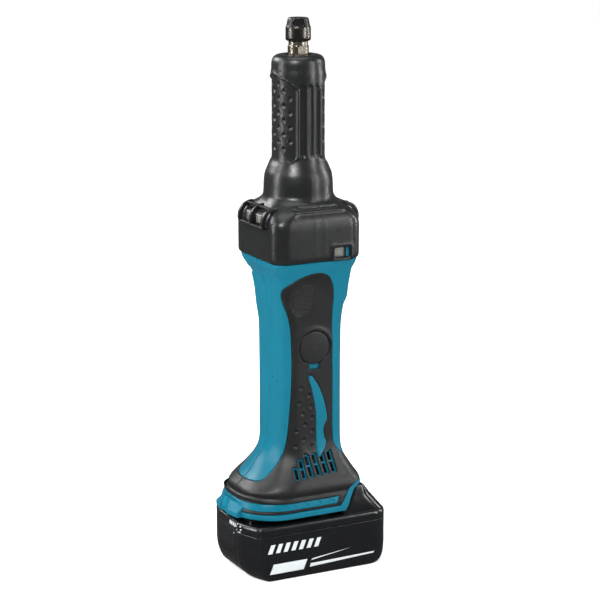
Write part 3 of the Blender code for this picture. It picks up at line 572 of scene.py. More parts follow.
TEAL = look("teal_plastic", (0.0010, 0.100, 0.152), 0.32, vary=0.04, vary_scale=35.0, grain=0.12,
            grain_scale=1900.0, rough_vary=0.05, wear=0.30, wear_colour=(0.01, 0.22, 0.31), specular=0.14)
SOFT_GREY = look("charcoal_overmould", (0.0080, 0.0084, 0.0090), 0.42, vary=0.12, grain=0.24,
                 grain_scale=2200.0, rough_vary=0.06, wear=0.30, wear_colour=(0.035, 0.037, 0.04),
                 specular=0.34)
PAD_GREY = look("thumb_pad_leather", (0.0085, 0.0089, 0.0094), 0.50, vary=0.15, grain=0.25, leather=0.9,
                specular=0.34)
BOOT_GREY = look("boot_rubber", (0.0062, 0.0067, 0.0072), 0.33, vary=0.12, grain=0.14, grain_scale=1700.0,
                 rough_vary=0.06, wear=0.35, wear_colour=(0.04, 0.042, 0.045), specular=0.42)
GLOSS = look("gloss_case", (0.0045, 0.0050, 0.0056), 0.22, vary=0.15, grain=0.015, grain_scale=2400.0,
             rough_vary=0.04, wear=0.40, wear_colour=(0.035, 0.037, 0.04), specular=0.4)
BLACK = look("satin_black", (0.0055, 0.0058, 0.0062), 0.32, vary=0.15, grain=0.15, rough_vary=0.06, wear=0.3,
             wear_colour=(0.035, 0.036, 0.04), specular=0.22)
STEEL = look("turned_steel", (0.185, 0.168, 0.135), 0.27, metal=1.0, vary=0.03, grain=0.0, rough_vary=0.02,
             streak=0.4)
DARK_STEEL = look("darkened_steel", (0.085, 0.080, 0.074), 0.22, metal=1.0, vary=0.08, grain=0.0,
                  rough_vary=0.02, wear=0.5, wear_colour=(0.30, 0.28, 0.25), streak=0.85)
BLACKED = look("blacked_steel", (0.028, 0.028, 0.028), 0.34, metal=0.9, vary=0.10, grain=0.10, rings=0.10,
               rough_vary=0.05, wear=0.5, wear_colour=(0.20, 0.19, 0.17))
ALLOY = look("cast_alloy", (0.22, 0.225, 0.205), 0.42, metal=0.85, vary=0.07, grain=0.5, grain_scale=800.0)
COPPER = look("copper", (0.72, 0.33, 0.16), 0.32, metal=1.0, weave=0.6)
BRASS = look("brass", (0.74, 0.55, 0.24), 0.30, metal=1.0)
# The carbon black is also the painted shade on the sheets behind the vents, made in make_inner.
CARBON_AND_SHADE = look("carbon", (0.03, 0.03, 0.03), 0.7, grain=0.5)
FERRITE = look("ferrite", (0.07, 0.07, 0.08), 0.6, grain=0.4, grain_scale=900.0)
BOARD = look("circuit_board", (0.02, 0.14, 0.05), 0.45, vary=0.3, vary_scale=420.0)
SLEEVE = look("cell_sleeve", (0.05, 0.15, 0.42), 0.36, vary=0.08)
PRINT = look("pale_print", (0.46, 0.49, 0.50), 0.45, vary=0.05, grain=0.12)
RED = look("gauge_window", (0.30, 0.02, 0.02), 0.12, vary=0.1, grain=0.03, coat=0.4)
LOOK_OF_SLOT = {
    "teal_shell": TEAL, "charcoal_grip": SOFT_GREY, "rubber_boot": BOOT_GREY, "gloss_case": GLOSS,
    "black_plastic": BLACK, "bright_steel": STEEL, "dark_steel": DARK_STEEL, "cast_alloy": ALLOY,
    "copper": COPPER, "brass": BRASS, "carbon": CARBON_AND_SHADE, "ferrite": FERRITE, "circuit_board": BOARD,
    "cell_sleeve": SLEEVE, "gauge_red": RED,
}


def dress_frame():
    """Every CAD node gets the procedural material of its slot."""
    for part in frame["record"]["subparts"]:
        node = NODES[part["node"]]
        node.data.materials.clear()
        node.data.materials.append(LOOK_OF_SLOT[part["material_slot"]])


def placed(made, body, slot, *nodes):
    """Hands a piece to a moving body and hides the CAD nodes that it stands for; slot is not used."""
    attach(made, body)
    if nodes:
        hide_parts(*nodes)
    return made


# Clamshell and grips -------------------------------------------------------------------------------------
BODY = Skin([
    (45.6, -56.6, 37.6, 38.6, 31.0, 12.0), (50.0, -57.0, 38.0, 39.0, 31.0, 12.0),
    (53.0, -56.0, 37.6, 38.6, 31.5, 12.0), (58.0, -54.3, 37.0, 37.8, 32.0, 12.0),
    (61.0, -52.2, 36.6, 37.2, 32.0, 12.0), (65.0, -50.6, 36.9, 37.5, 31.5, 12.5),
    (69.0, -46.2, 36.2, 36.6, 29.5, 13.0), (74.0, -41.4, 33.4, 34.0, 29.0, 13.0),
    (80.0, -36.8, 30.0, 30.9, 28.5, 12.5), (86.0, -32.2, 27.2, 28.1, 25.5, 12.0),
    (92.0, -28.6, 26.0, 25.8, 20.5, 10.5), (100.0, -26.0, 25.6, 24.7, 15.5, 9.5),
    (140.0, -24.6, 25.5, 24.5, 12.5, 9.5), (180.0, -24.7, 25.7, 24.7, 12.0, 9.5),
    (196.0, -25.9, 27.0, 25.7, 10.5, 9.0), (203.0, -26.4, 29.8, 26.2, 10.5, 9.0),
    (210.0, -27.0, 30.4, 26.8, 10.0, 9.0), (218.0, -28.2, 31.0, 28.1, 9.5, 8.5),
    (224.0, -30.6, 31.4, 30.5, 9.5, 9.5), (229.0, -33.0, 33.0, 32.8, 9.5, 9.5),
    (232.2, -33.6, 33.6, 33.6, 9.5, 9.5),
])
GAP_EDGE = 0.14  # how far each shell's and grip's outline draws back from its joint line


def front_line(points, skin=BODY):
    """x, z points on a skin's -Y half as u, v points."""
    return np.array([skin.on_front(x, z) for x, z in points])


def side_line(side, points):
    """y, z points on one X side as u, v points."""
    return np.array([BODY.on_side(side, y, z) for y, z in points])


# The tongue of the shell on its -X side, from its tip up to the grip's left edge.
TONGUE_LINE = side_line(-1, [(0.0, 70.2), (5.0, 70.4), (10.5, 70.9), (15.5, 71.6), (18.2, 72.6)])
# The grip's outline from the tongue up its left edge, over the top and down its right edge.
GRIP_LEFT = front_line([(-37.0, 74.6), (-33.6, 77.5), (-29.9, 80.9), (-26.5, 84.7), (-24.0, 88.0),
                        (-22.2, 91.6), (-20.9, 97.0), (-19.9, 104.0), (-19.2, 112.0), (-18.5, 122.0),
                        (-17.4, 140.0), (-17.1, 160.0), (-18.2, 183.0), (-20.8, 194.0), (-24.6, 204.0),
                        (-25.4, 209.0), (-24.6, 213.2), (-20.0, 217.0), (-12.0, 221.2), (-3.0, 223.6),
                        (4.0, 223.4), (10.0, 220.6), (14.0, 215.0), (15.6, 206.0), (15.6, 150.0),
                        (15.4, 97.0), (17.5, 92.0), (22.0, 87.4)])
BACK_LINE = side_line(1, [(19.0, 81.6), (10.0, 80.6), (0.0, 80.4)])
SWEEP_IN = np.vstack([side_line(1, [(0.0, 68.6), (14.0, 68.4), (24.0, 68.2)]),
                      front_line([(28.5, 66.3), (24.6, 63.6), (21.6, 60.0), (17.7, 53.8), (15.2, 50.6)])])
SWEEP_OUT = np.vstack([front_line([(19.7, 45.6), (23.5, 54.0), (26.5, 60.0), (30.0, 63.0)]),
                       side_line(1, [(24.0, 65.2), (14.0, 65.4), (0.0, 65.6)])])


def rounded_line(*lines):
    """One open line through the points of several, with its corners rounded."""
    return curve(np.vstack(lines) * (FLAT, 1.0), 1.0, ring=False) / (FLAT, 1.0)


def straight(*corners):
    """Even points along straight runs between corners."""
    return np.vstack([spaced(np.array([a, b]) * (FLAT, 1.0), 1.0, ring=False) / (FLAT, 1.0)
                      for a, b in zip(corners, corners[1:])])


def closed(*lines):
    """One loop from lines laid end to end."""
    out = []
    for p in np.vstack(lines):
        if not out or np.hypot((p[0] - out[-1][0]) * FLAT, p[1] - out[-1][1]) > 0.05:
            out.append(p)
    if np.hypot((out[0][0] - out[-1][0]) * FLAT, out[0][1] - out[-1][1]) < 0.05:
        out.pop()
    return np.array(out)


def drawn(loop, distance):
    """A closed loop moved inward, or outward for a negative distance."""
    flat = loop * (FLAT, 1.0)
    after = np.roll(flat, -1, axis=0)
    d = after - np.roll(flat, 1, axis=0)
    d /= np.maximum(np.linalg.norm(d, axis=1, keepdims=True), 1e-9)
    turn = np.sum(flat[:, 0] * after[:, 1] - after[:, 0] * flat[:, 1])
    out = flat + np.stack([-d[:, 1], d[:, 0]], 1) * (1 if turn > 0 else -1) * distance
    out[:, 0] = np.clip(out[:, 0], -FLAT, FLAT)
    return out / (FLAT, 1.0)


V = BODY.v_at


def left(z):
    """The point of the parting line on the -X side at a height."""
    return -1.0, V(z)


def right(z):
    return 1.0, V(z)


SHELL_TOP, SHELL_FOOT, TONGUE_TIP, BACK_TOP = 232.2, 45.8, 70.6, 80.4
GRIP_EDGE = rounded_line(TONGUE_LINE, GRIP_LEFT, BACK_LINE)
GRIP_LOOP = closed(GRIP_EDGE, straight(right(BACK_TOP), right(68.6)), rounded_line(SWEEP_IN),
                   straight(SWEEP_IN[-1], left(50.6), left(TONGUE_TIP)))
BAND_LOOP = closed(straight(left(SHELL_FOOT), BODY.on_front(19.7, SHELL_FOOT)), rounded_line(SWEEP_OUT),
                   straight(right(65.6), right(68.2)), rounded_line(SWEEP_IN),
                   straight(SWEEP_IN[-1], left(50.2), left(SHELL_FOOT)))
BAND_LOW, BAND_HIGH = 52.9, 57.8
UPPER_BAND = closed(straight(left(BAND_LOW), BODY.on_front(12.4, BAND_LOW), BODY.on_front(14.4, BAND_HIGH),
                             left(BAND_HIGH), left(BAND_LOW)))
INLAY = front_line(curve([(-4.4, 147.4), (-1.0, 147.2), (4.3, 139.0), (9.0, 127.2), (11.7, 113.7), (9.0, 109.7),
                          (8.0, 104.6), (9.0, 99.4), (10.9, 95.8), (5.6, 87.4), (2.0, 85.8), (2.4, 108.0),
                          (1.9, 123.6), (-1.4, 137.8)], 1.0, rounds=1))
COVER_X, COVER_Z = 0.8, 167.7
CAP_HOLE = front_line(curve([(COVER_X + 12.45 * math.cos(t), COVER_Z + 12.45 * math.sin(t))
                             for t in np.radians(np.arange(-70.0, 251.0, 8.0))]
                            + [(-3.4, 152.9), (-2.6, 151.7), (4.6, 151.7), (5.2, 152.9)], 0.9, rounds=0))
THUMB_PAD = front_line(curve([(-5.6, 219.0), (-0.5, 218.0), (1.0, 213.0), (0.2, 205.0), (-2.6, 197.0),
                              (-8.0, 192.2), (-13.6, 191.6), (-18.0, 195.6), (-20.6, 202.5), (-20.8, 208.6),
                              (-17.6, 213.4), (-12.0, 217.0)], 1.0))
# Each vent: the x of its foot, its lean in degrees and the heights of its bottom and top.
VENTS = [(-16.8, 1.0, 73.6, 80.8), (-11.4, 4.0, 74.0, 86.0), (-5.5, 6.0, 74.4, 88.6), (0.6, 6.7, 74.8, 89.0),
         (6.8, 6.7, 75.2, 89.4), (13.0, 6.7, 75.6, 89.8)]
VENT_CORNER = 0.8


def vent_line(vent, half, low, high):
    """A slanted slot with small round corners: its bottom leans towards +X."""
    middle, degrees, foot, _ = vent
    lean = math.tan(math.radians(degrees))
    out = []
    for side, z, turn in ((-1, low + VENT_CORNER, 180), (1, low + VENT_CORNER, 270), (1, high - VENT_CORNER, 0),
                          (-1, high - VENT_CORNER, 90)):
        arc = corner_arc(middle + side * (half - VENT_CORNER), z, VENT_CORNER, turn)
        out += [(x - (z - foot) * lean, up) for x, up in arc]
    return front_line(spaced(out, 0.8))


DIMPLES = [(-9.9, 138.9), (-3.4, 132.9), (-11.5, 127.6), (-2.0, 124.6), (-8.6, 119.6), (-0.8, 115.9),
           (-6.8, 111.2), (-13.6, 106.6), (-0.6, 105.9), (-7.6, 100.0), (-14.6, 95.4), (-1.9, 94.8),
           (-7.8, 89.0), (-14.4, 84.2)]
BAND_DIMPLES = [(-21.4, 55.0), (-11.4, 55.2), (-1.4, 55.4), (8.6, 55.6)]


def spots(skin, centres, radius):
    """More points round each centre, so that a small round relief is sampled well."""
    out = []
    for u, v in centres:
        length = skin.round_length(u, v)
        out.append((u, v))
        for share in (0.35, 0.7, 1.0, 1.3):
            for k in range(12):
                t = 2 * math.pi * (k + 0.5 * (share > 0.8)) / 12
                out.append((u + radius * share * math.cos(t) / length, v + radius * share * math.sin(t)))
    return out


def pits(skin, centres, radius, depth):
    """A relief rule for round hollows, or bumps for a negative depth."""
    def rule(u, v):
        height = np.zeros(np.shape(u))
        for cu, cv in centres:
            far = np.hypot((u - cu) * skin.round_length(cu, cv), v - cv) / radius
            height -= depth * np.where(far < 1, (1 - np.minimum(far, 1) ** 2) ** 1.5, 0)
            height += 0.15 * depth * hill(far, 1.15, 0.22)
        return height
    return rule


def body_crease(u, v):
    """The -X face falls away a little on both sides of the parting line, most of all on the tongue."""
    z = BODY.rules[0](v)
    side = fade(-np.asarray(u), 0.48, 0.74)
    fall = (1 - (-np.asarray(u) - 0.74) / 0.26) * side
    return -fall * (0.45 + 0.65 * fade(-z, -112, -86) * fade(z, 66, 76))


def lip_relief(u, z):
    """The shallow groove between the foot's rounded shoulder and the lip that stands over its upper band."""
    reach = fade(-u, -0.52, -0.40)
    return -0.7 * reach * hill(z, 61.2, 1.7) - 0.5 * fade(-z, -52.9, -52.2)


PAD_FLAT = THUMB_PAD * (FLAT, 1.0)
DIMPLE_UV = front_line(DIMPLES)
BAND_DIMPLE_UV = front_line(BAND_DIMPLES)
grip_pits = pits(BODY, DIMPLE_UV, 1.75, 1.0)
band_pits = pits(BODY, BAND_DIMPLE_UV, 1.3, 0.6)


def front_pad(u, v):
    """1 inside the thumb pad and 0 outside it, with a short slope between."""
    flat = np.stack([u * FLAT, v], 1)
    share = np.zeros(len(flat))
    near = np.all((flat > PAD_FLAT.min(0) - 2) & (flat < PAD_FLAT.max(0) + 2), axis=1)
    if near.any():
        some = flat[near]
        away = edge_distance(some, PAD_FLAT, np.roll(PAD_FLAT, -1, axis=0))
        share[near] = fade(np.where(inside(some, [PAD_FLAT]), away, -away), -0.5, 0.8)
    return share


def grip_relief(u, v):
    """The sunk thumb pad, a ridge round the cover, the dimples and the groove over the foot's band."""
    z = BODY.rules[0](v)
    height = lip_relief(u, z) + body_crease(u, v) * fade(z, 64, 68)
    pad = front_pad(u, v)
    height -= 0.3 * pad - 0.2 * np.clip(4 * pad * (1 - pad), 0, 1)
    near = np.hypot(BODY.base(u, v)[..., 0] - COVER_X, z - COVER_Z)
    height += 0.7 * hill(near, 13.9, 1.5) * fade(z, 158, 170)
    return height + grip_pits(u, v)


# The housing screws in order; the second and third lie under the grip, the rest at the bottom of open holes.
SCREWS = [(-24.8, 221.0), (-16.5, 155.4), (16.0, 155.4), (-14.4, 124.0), (-22.0, 68.6), (21.4, 70.6)]
SCREW_HOLE, SCREW_SEAT = 4.4, 3.8


def screw_holes(screws, r):
    return [front_line(disc_line(x, z, r)) for x, z in screws]


def grip_piece(rear):
    holes = [drawn(UPPER_BAND, -GAP_EDGE), drawn(INLAY, -GAP_EDGE), CAP_HOLE]
    holes += [vent_line(vent, 2.1, vent[2] - 0.5, vent[3] + 0.5) for vent in VENTS]
    holes += screw_holes(SCREWS[3:], SCREW_HOLE) if rear else []
    extra = spots(BODY, DIMPLE_UV, 1.7) + [tuple(p) for p in drawn(PAD_FLAT / (FLAT, 1.0), -0.7)]
    extra += [(u, v) for v in np.arange(V(57.9), V(64.5), 0.45) for u in np.arange(-0.99, 0.45, 0.022)]
    return patch(BODY, [drawn(GRIP_LOOP, GAP_EDGE)] + holes, grip_relief, 1.5, 0.45, 1.6, extra=extra,
                 zones=[THUMB_PAD])


def knob_opening(low, high, half):
    """The outline of the slide switch's opening, from the parting line round and back."""
    return right(low), BODY.on_side(1, half, low), BODY.on_side(1, half, high), right(high)


def shell_pieces(rear):
    """The raised teal regions of one half and the sunk wall behind the grip."""
    shell = closed(straight(left(SHELL_TOP), left(TONGUE_TIP)), GRIP_EDGE,
                   straight(right(BACK_TOP), *knob_opening(198.7, 226.0, 8.8), right(SHELL_TOP),
                            left(SHELL_TOP)))
    holes = screw_holes(SCREWS[:1], SCREW_HOLE) if rear else []
    out = [patch(BODY, [drawn(shell, GAP_EDGE)] + holes, body_crease, 1.7, 0.4, 2.0),
           patch(BODY, [drawn(BAND_LOOP, GAP_EDGE)], None, 1.5, 0.6, 2.2),
           patch(BODY, [drawn(UPPER_BAND, 0.0)], band_pits, 1.5, 0.35, 2.2,
                 extra=spots(BODY, BAND_DIMPLE_UV, 1.3)),
           patch(BODY, [INLAY], None, 1.5, 0.35, 2.2)]
    core = closed(straight(left(47.0), BODY.on_front(17.0, 47.0)),
                  rounded_line(front_line([(19.0, 51.0), (22.6, 60.0), (26.4, 64.8)]),
                               side_line(1, [(24.0, 67.0), (0.0, 67.4)])),
                  straight(right(67.4), *knob_opening(197.4, 228.0, 9.6), right(231.0), left(231.0),
                           left(47.0)))
    slots = []
    for vent in VENTS:
        low, high = vent[2] + 0.35, vent[3] - 0.35
        middle = low + 0.52 * (high - low)
        parts = [(low, high)] if high - low < 9 else [(low, middle - 0.5), (middle + 0.5, high)]
        slots += [vent_line(vent, 1.35, below, above) for below, above in parts]
    slots += screw_holes(SCREWS[:1] + SCREWS[3:], SCREW_SEAT) if rear else []
    out.append(patch(BODY, [core] + slots, None, 2.4, 0.1, 1.1, floor=-1.75))
    return out


def brim():
    """The thin lip that stands off the foot over its upper band, boldest round the -X end."""
    rings = []
    across, up = squared(16, 0.6)
    last = BODY.on_front(12.6, 58.0)[0]
    for u in np.linspace(-0.998, last, 170):
        bold = float(fade(-u, 0.35, 0.85))
        low, high = 57.9, 59.2 + 1.5 * bold
        end = min(1.0, (last - u) / 0.08 + 0.15)
        middle = BODY.point(u, V((low + high) / 2), 0.15 + 1.1 * bold)
        away = BODY.point(u, V(59.0), 1.0) - BODY.base(u, V(59.0))
        away[2] = 0
        away /= np.linalg.norm(away)
        thin = 1 - 0.45 * bold * (up > 0)
        rings.append(middle + (across * 0.5 * end * thin + up * 0.5 * bold)[:, None] * away
                     + (up * (high - low) / 2 * end)[:, None] * np.array([0, 0, 1.0]))
    points, faces = stacked(rings)
    points[:, 1] = np.minimum(points[:, 1], -0.1)
    return points, faces


def make_clamshell():
    """The housing halves and their grips; the rear half mirrors the front one and has the screw holes."""
    for name, rear in (("front", False), ("rear", True)):
        shell, grip = shell_pieces(rear), [grip_piece(rear), brim()]
        if rear:
            shell, grip = [flipped(p) for p in shell], [flipped(p) for p in grip]
        placed(gather(f"shell_{name}", shell, TEAL), "tool", "teal_shell", f"housing_{name}")
        placed(gather(f"overmould_{name}", grip, [SOFT_GREY, PAD_GREY]), "tool", "charcoal_grip",
               f"grip_{name}")


# Rubber protector ----------------------------------------------------------------------------------------
def square_skin(rows):
    """A skin with square sections from height, half width and corner radius."""
    return Skin([(z, -half, half, half, r, r) for z, half, r in rows])


BOOT = square_skin([
    (232.7, 34.2, 10.5), (233.6, 34.9, 10.9), (236.0, 35.2, 11.0), (256.0, 35.2, 11.0), (260.5, 34.9, 11.2),
    (264.2, 33.6, 12.2), (267.4, 31.6, 13.6), (270.4, 28.8, 17.0), (273.2, 26.7, 22.0), (277.0, 25.3, 25.2),
    (287.0, 24.7, 24.6), (292.0, 24.0, 23.9), (296.5, 22.2, 22.1), (300.0, 20.8, 20.7), (304.0, 19.9, 19.8),
    (312.0, 19.7, 19.6), (358.0, 19.6, 19.5), (363.6, 19.6, 19.5), (365.8, 19.2, 19.1), (370.6, 19.0, 18.9),
    (372.6, 18.6, 18.5), (374.2, 17.8, 17.7), (375.4, 16.5, 16.4), (376.1, 14.8, 14.7), (376.4, 12.8, 12.7),
    (376.4, 10.4, 10.3), (376.1, 9.5, 9.4), (375.4, 9.1, 9.0)])
W = BOOT.v_at
# The two ribs on the head's long sides: y, z, and the x of both ends.
RIDGES = ((31.0, 268.0, -17.6, 21.4), (27.2, 271.6, -17.0, 18.4))


def panel_half(z):
    """Half width in degrees of the dimpled side panels: full height, arched at the top and bottom."""
    return 61.5 * np.sqrt(fade(-z, -364.0, -352.0)) * np.sqrt(fade(z, 297.0, 306.0))


def panel_depth(u, z):
    """How deep a point lies in a side panel, in millimetres from its edge; below 0 outside."""
    return (panel_half(z) - np.abs(np.abs(u * 90.0) - 90.0)) * DEGREE


PANEL_DIMPLES = [(side * (1 + column * 15.3 / 90.0), W(311.0 + 5.1 * row))
                 for side in (-1, 1) for row in range(10) for column in range(-3, 4)
                 if (row + column) % 2 == 0 and abs(column) * 15.3 < float(panel_half(311.0 + 5.1 * row)) - 9.0]
SLOT_TURNS = [-16.5, 0.0, 16.5]


def slot_field(u, z):
    """Three upright rounded slots on each face between the panels."""
    field = np.zeros(np.shape(z))
    for face in (0.0, 180.0, -180.0):
        for turn in SLOT_TURNS:
            far = np.hypot((u * 90.0 - face - turn) * DEGREE, np.maximum(np.maximum(z - 354.6, 307.0 - z), 0))
            field = np.maximum(field, fade(-far, -2.1, -1.3))
    return field


nose_pits = pits(BOOT, PANEL_DIMPLES, 1.85, 1.0)


def boot_relief(u, v):
    """Side panels with a frame, slots, the marker triangle, ribs and a nub on the head, and a window frame."""
    z = BOOT.rules[0](v)
    face = BOOT.base(u, v)
    x, y = face[..., 0], np.abs(face[..., 1])
    deep = panel_depth(u, z)
    height = (-0.85 * fade(deep, 0.2, 1.3) * fade(z, 298, 303) * fade(-z, -364, -362)
              + 0.6 * (hill(deep, -0.7, 0.7) * fade(z, 299, 306) * fade(-z, -366.5, -363))
              - 0.35 * hill(deep, -2.3, 0.6) * fade(z, 299, 306) * fade(-z, -363, -358) + nose_pits(u, v))
    height -= 1.05 * slot_field(u, z)
    height += 0.10 * hill((np.abs(u) - 0.055) * 35, 0, 0.35) * fade(-z, -296, -292)
    for y_at, z_at, x_low, x_high in RIDGES:
        across = np.clip(np.minimum(x - x_low, x_high - x), -1, 1)
        height += 1.15 * hill(np.hypot(y - y_at, z - z_at), 0, 0.8) * fade(across, -0.4, 0.6)
    height += 1.3 * hill(np.hypot(np.hypot(x + 18.6, y - 31.2), z - 268.2), 0, 1.9)
    across, up = np.abs(np.abs(u) - 0.80) * 31.0, z - 365.6
    height += 0.5 * fade(-np.maximum(across - (2.6 - up) * 0.5, np.abs(up - 1.2) - 1.5), -0.4, 0.3) * (u < 0)
    window = np.maximum(np.abs(x - 17.4) - 7.6, np.abs(z - 238.0) - 5.2)
    height += 1.0 * hill(window, -0.2, 0.8) * fade(-face[..., 1], 20, 30)
    return height


HOOD_ARC = [(26.6, 270.6), (29.4, 270.3), (32.2, 269.4), (34.6, 267.9), (36.4, 265.6), (37.6, 262.8),
            (37.9, 260.0), (37.4, 258.0), (36.2, 257.0)]


def hood_pieces():
    """On each X shoulder three arched ribs with webs behind them, joined by a shelf below and an eave above."""
    out = []
    web = smooth_path(HOOD_ARC, 1.2)
    for side in (-1, 1):
        for y, width, inner in ((-18.6, 2.5, 1.5), (0.0, 2.8, 4.6), (18.6, 2.5, 1.5)):
            path = smooth_path([(side * x, y, z) for x, z in HOOD_ARC], 0.8)
            out.append(swept(path, width, 2.5, (0, 1, 0), 5.0, 28))
            half = width * 0.36
            layers = [(y - half, 0.94), (y - half * 0.8, 1.0), (y + half * 0.8, 1.0), (y + half, 0.94)]
            out.append(slab(np.vstack([web, web[::-1] + (-inner, -inner * 0.55)]), layers, side))
        for x, z, reach, width, depth in ((37.3, 257.1, 19.2, 3.2, 2.2), (35.4, 257.0, 19.2, 2.6, 2.0),
                                          (30.6, 269.9, 18.4, 3.4, 1.9)):
            bar = smooth_path([(side * x, y, z) for y in np.linspace(-reach, reach, 14)], 1.5)
            out.append(swept(bar, width, depth, (0, 0, 1), 5.0, 28))
        nub = smooth_path([(side * (30.6 - t), -18.6, 270.2 + 0.1 * t) for t in (0.0, 0.8, 1.6, 2.4)], 0.5)
        out.append(swept(nub, 3.4, 3.0, (0, 1, 0), 2.4, 24))
    return out


def hood_windows():
    """Two openings on each X shoulder, between the hood's ribs."""
    holes = []
    for side in (-1, 1):
        for y0, y1 in ((2.4, 17.0), (-17.0, -2.4)):
            line = curve([(y0, 258.9), (y1, 258.9), (y1, 266.4), (y0 * 0.6 + y1 * 0.4, 269.4), (y0, 268.2)],
                         0.8)
            points = []
            for y, z in line:
                u, v = BOOT.on_side(side, abs(y), z)
                points.append((u if y < 0 else side * 2 - u, v))
            holes.append(np.array(points))
    return holes


def slot_points():
    """Fine points along both edges of the nose's slots."""
    places = [(face + (turn + off / DEGREE) / 90.0, W(z)) for face in (0.0, 2.0, -2.0) for turn in SLOT_TURNS
              for z in np.arange(304.0, 358.0, 0.9) for off in (-2.3, -1.9, -1.5, -1.1, 1.1, 1.5, 1.9, 2.3)]
    return [(u, v) for u, v in places if abs(u) < 1.99]


def panel_edge_points():
    """Fine points along the edges of the side panels, closest together at their arches."""
    out = []
    heights = np.concatenate([np.arange(297.0, 307.0, 0.35), np.arange(307.0, 351.0, 1.1),
                              np.arange(351.0, 365.0, 0.35)])
    for side in (-1, 1):
        for z in heights:
            for away in (-1.6, -1.0, -0.5, 0.0, 0.4, 0.8, 1.3):
                reach = float(panel_half(z)) - away / DEGREE
                if reach > 1.5:
                    out += [(side * (1 + way * reach / 90.0), W(z)) for way in (-1, 1)]
    return out


def ridge_points():
    """Fine points along the ribs on the head."""
    out = []
    for _, z, x_low, x_high in RIDGES:
        for x in np.arange(x_low - 1.0, x_high + 1.2, 0.9):
            heights = [W(z) + dv for dv in (-1.5, -1.0, -0.6, -0.2, 0.2, 0.6, 1.0, 1.5)]
            out += [(x / BOOT.round_length(x, v), v) for v in heights]
    return out


def make_boot():
    loop = closed(straight((-2.0, 0.0), (2.0, 0.0), (2.0, BOOT.top), (-2.0, BOOT.top), (-2.0, 0.0)))
    holes = [front_line(round_box(11.2, 23.6, 234.2, 241.8, 1.3), BOOT)] + hood_windows()
    extra = spots(BOOT, PANEL_DIMPLES, 1.75) + slot_points() + panel_edge_points() + ridge_points()
    extra += [tuple(BOOT.on_front(x, z)) for x in np.arange(9.0, 25.6, 0.6)
              for z in np.arange(233.4, 245.0, 0.6)]
    body = patch(BOOT, [loop] + holes, boot_relief, 1.5, 0.4, 2.4, seams=(-2.0, 2.0), extra=extra)
    made = gather("protector", [body] + hood_pieces(), BOOT_GREY)
    reworked(made, lambda work: bmesh.ops.remove_doubles(work, verts=work.verts, dist=2e-6))
    placed(made, "tool", "rubber_boot", "rubber_protector")


# Nose metal ----------------------------------------------------------------------------------------------
FLATS_REACH = 6.5  # from the axis to a spanner flat, on the nut and on the spindle


def flats(turn_deg, reach, low, high=1e9):
    """A rule for two flats on a turned piece between two heights."""
    def rule(turn, r, z):
        off = np.maximum(np.abs(np.sin(turn - math.radians(turn_deg))), 1e-6)
        return np.minimum(float(r), reach / off) if low <= z <= high else np.full(np.shape(turn), float(r))
    return rule


def socket(outline, low, high, bottom):
    """A rule that gives a turned hole between two radii another outline, above its bottom."""
    def rule(turn, r, z):
        radius = np.full(np.shape(turn), float(r))
        return np.minimum(radius, outline(turn)) if low < r < high and z > bottom else radius
    return rule


def sawn(turn, r, z):
    """A rule for three narrow saw cuts down the collet."""
    near = np.abs((turn * 3 / (2 * math.pi) + 0.5) % 1.0 - 0.5) * 2 * math.pi / 3 * 4.5
    return np.where((near < 0.28) & (z > 384), 3.0 + (r - 3.0) * 0.12, r)


def spread(profile, step):
    """A closed profile with more points along its long runs."""
    out = []
    for i, a in enumerate(profile):
        b = profile[(i + 1) % len(profile)]
        count = 1 if a[0] < 1e-6 or b[0] < 1e-6 else max(1, int(math.dist(a, b) / step))
        out += [(a[0] + (b[0] - a[0]) * k / count, a[1] + (b[1] - a[1]) * k / count) for k in range(count)]
    return out


def make_nut():
    """The collet nut: a turned, darkened body whose cone above the shoulder is blacked."""
    outer = [(6.3, 385.9), (8.2, 385.9), (8.75, 386.3), (9.0, 387.0), (9.0, 389.0), (9.0, 391.0), (9.0, 393.0),
             (9.0, 394.9), (8.93, 395.4), (8.7, 395.9), (8.45, 396.5), (8.2, 397.4), (8.0, 398.4), (7.8, 399.4),
             (7.6, 400.4), (7.35, 401.2), (7.0, 401.8), (6.4, 402.0), (4.95, 402.0), (4.95, 399.0),
             (6.3, 396.8)]
    nut = gather("collet_nut_turned", [turned(outer, 144, flats(-25.0, FLATS_REACH, 396.55))],
                 [DARK_STEEL, BLACKED], sharp=30)
    for face in nut.data.polygons:
        face.material_index = 1 if face.center.z / MM > 395.2 else 0
    placed(nut, "nut", "dark_steel", "collet_nut")


def make_spindle():
    """The collet cone with its saw cuts, and the spindle that it sits in."""
    cone = rounded([(3.0, 374.0), (4.2, 374.0), (4.55, 378.0), (4.55, 400.9), (4.2, 401.4), (3.0, 401.4)], 0.25)
    placed(gather("collet_sleeve", [turned(cone, 180, sawn)], STEEL, sharp=30), "collet", "bright_steel",
           "collet_cone")
    profile = rounded([(0, 269.0), (5.0, 269.0), (5.0, 290.5), (5.9, 290.5), (5.9, 360.2), (7.5, 360.2),
                       (7.5, 374.4), (7.5, 382.4), (6.9, 382.7), (6.9, 385.4), (6.0, 385.4), (6.0, 395.5),
                       (4.9, 395.5), (4.9, 373.0), (0, 373.0)], 0.35)
    spindle = turned(spread(profile, 1.2), 128, flats(0.0, FLATS_REACH, 374.6, 382.4))
    placed(gather("spindle_turned", [spindle], STEEL, sharp=30), "rotor", "bright_steel", "spindle")


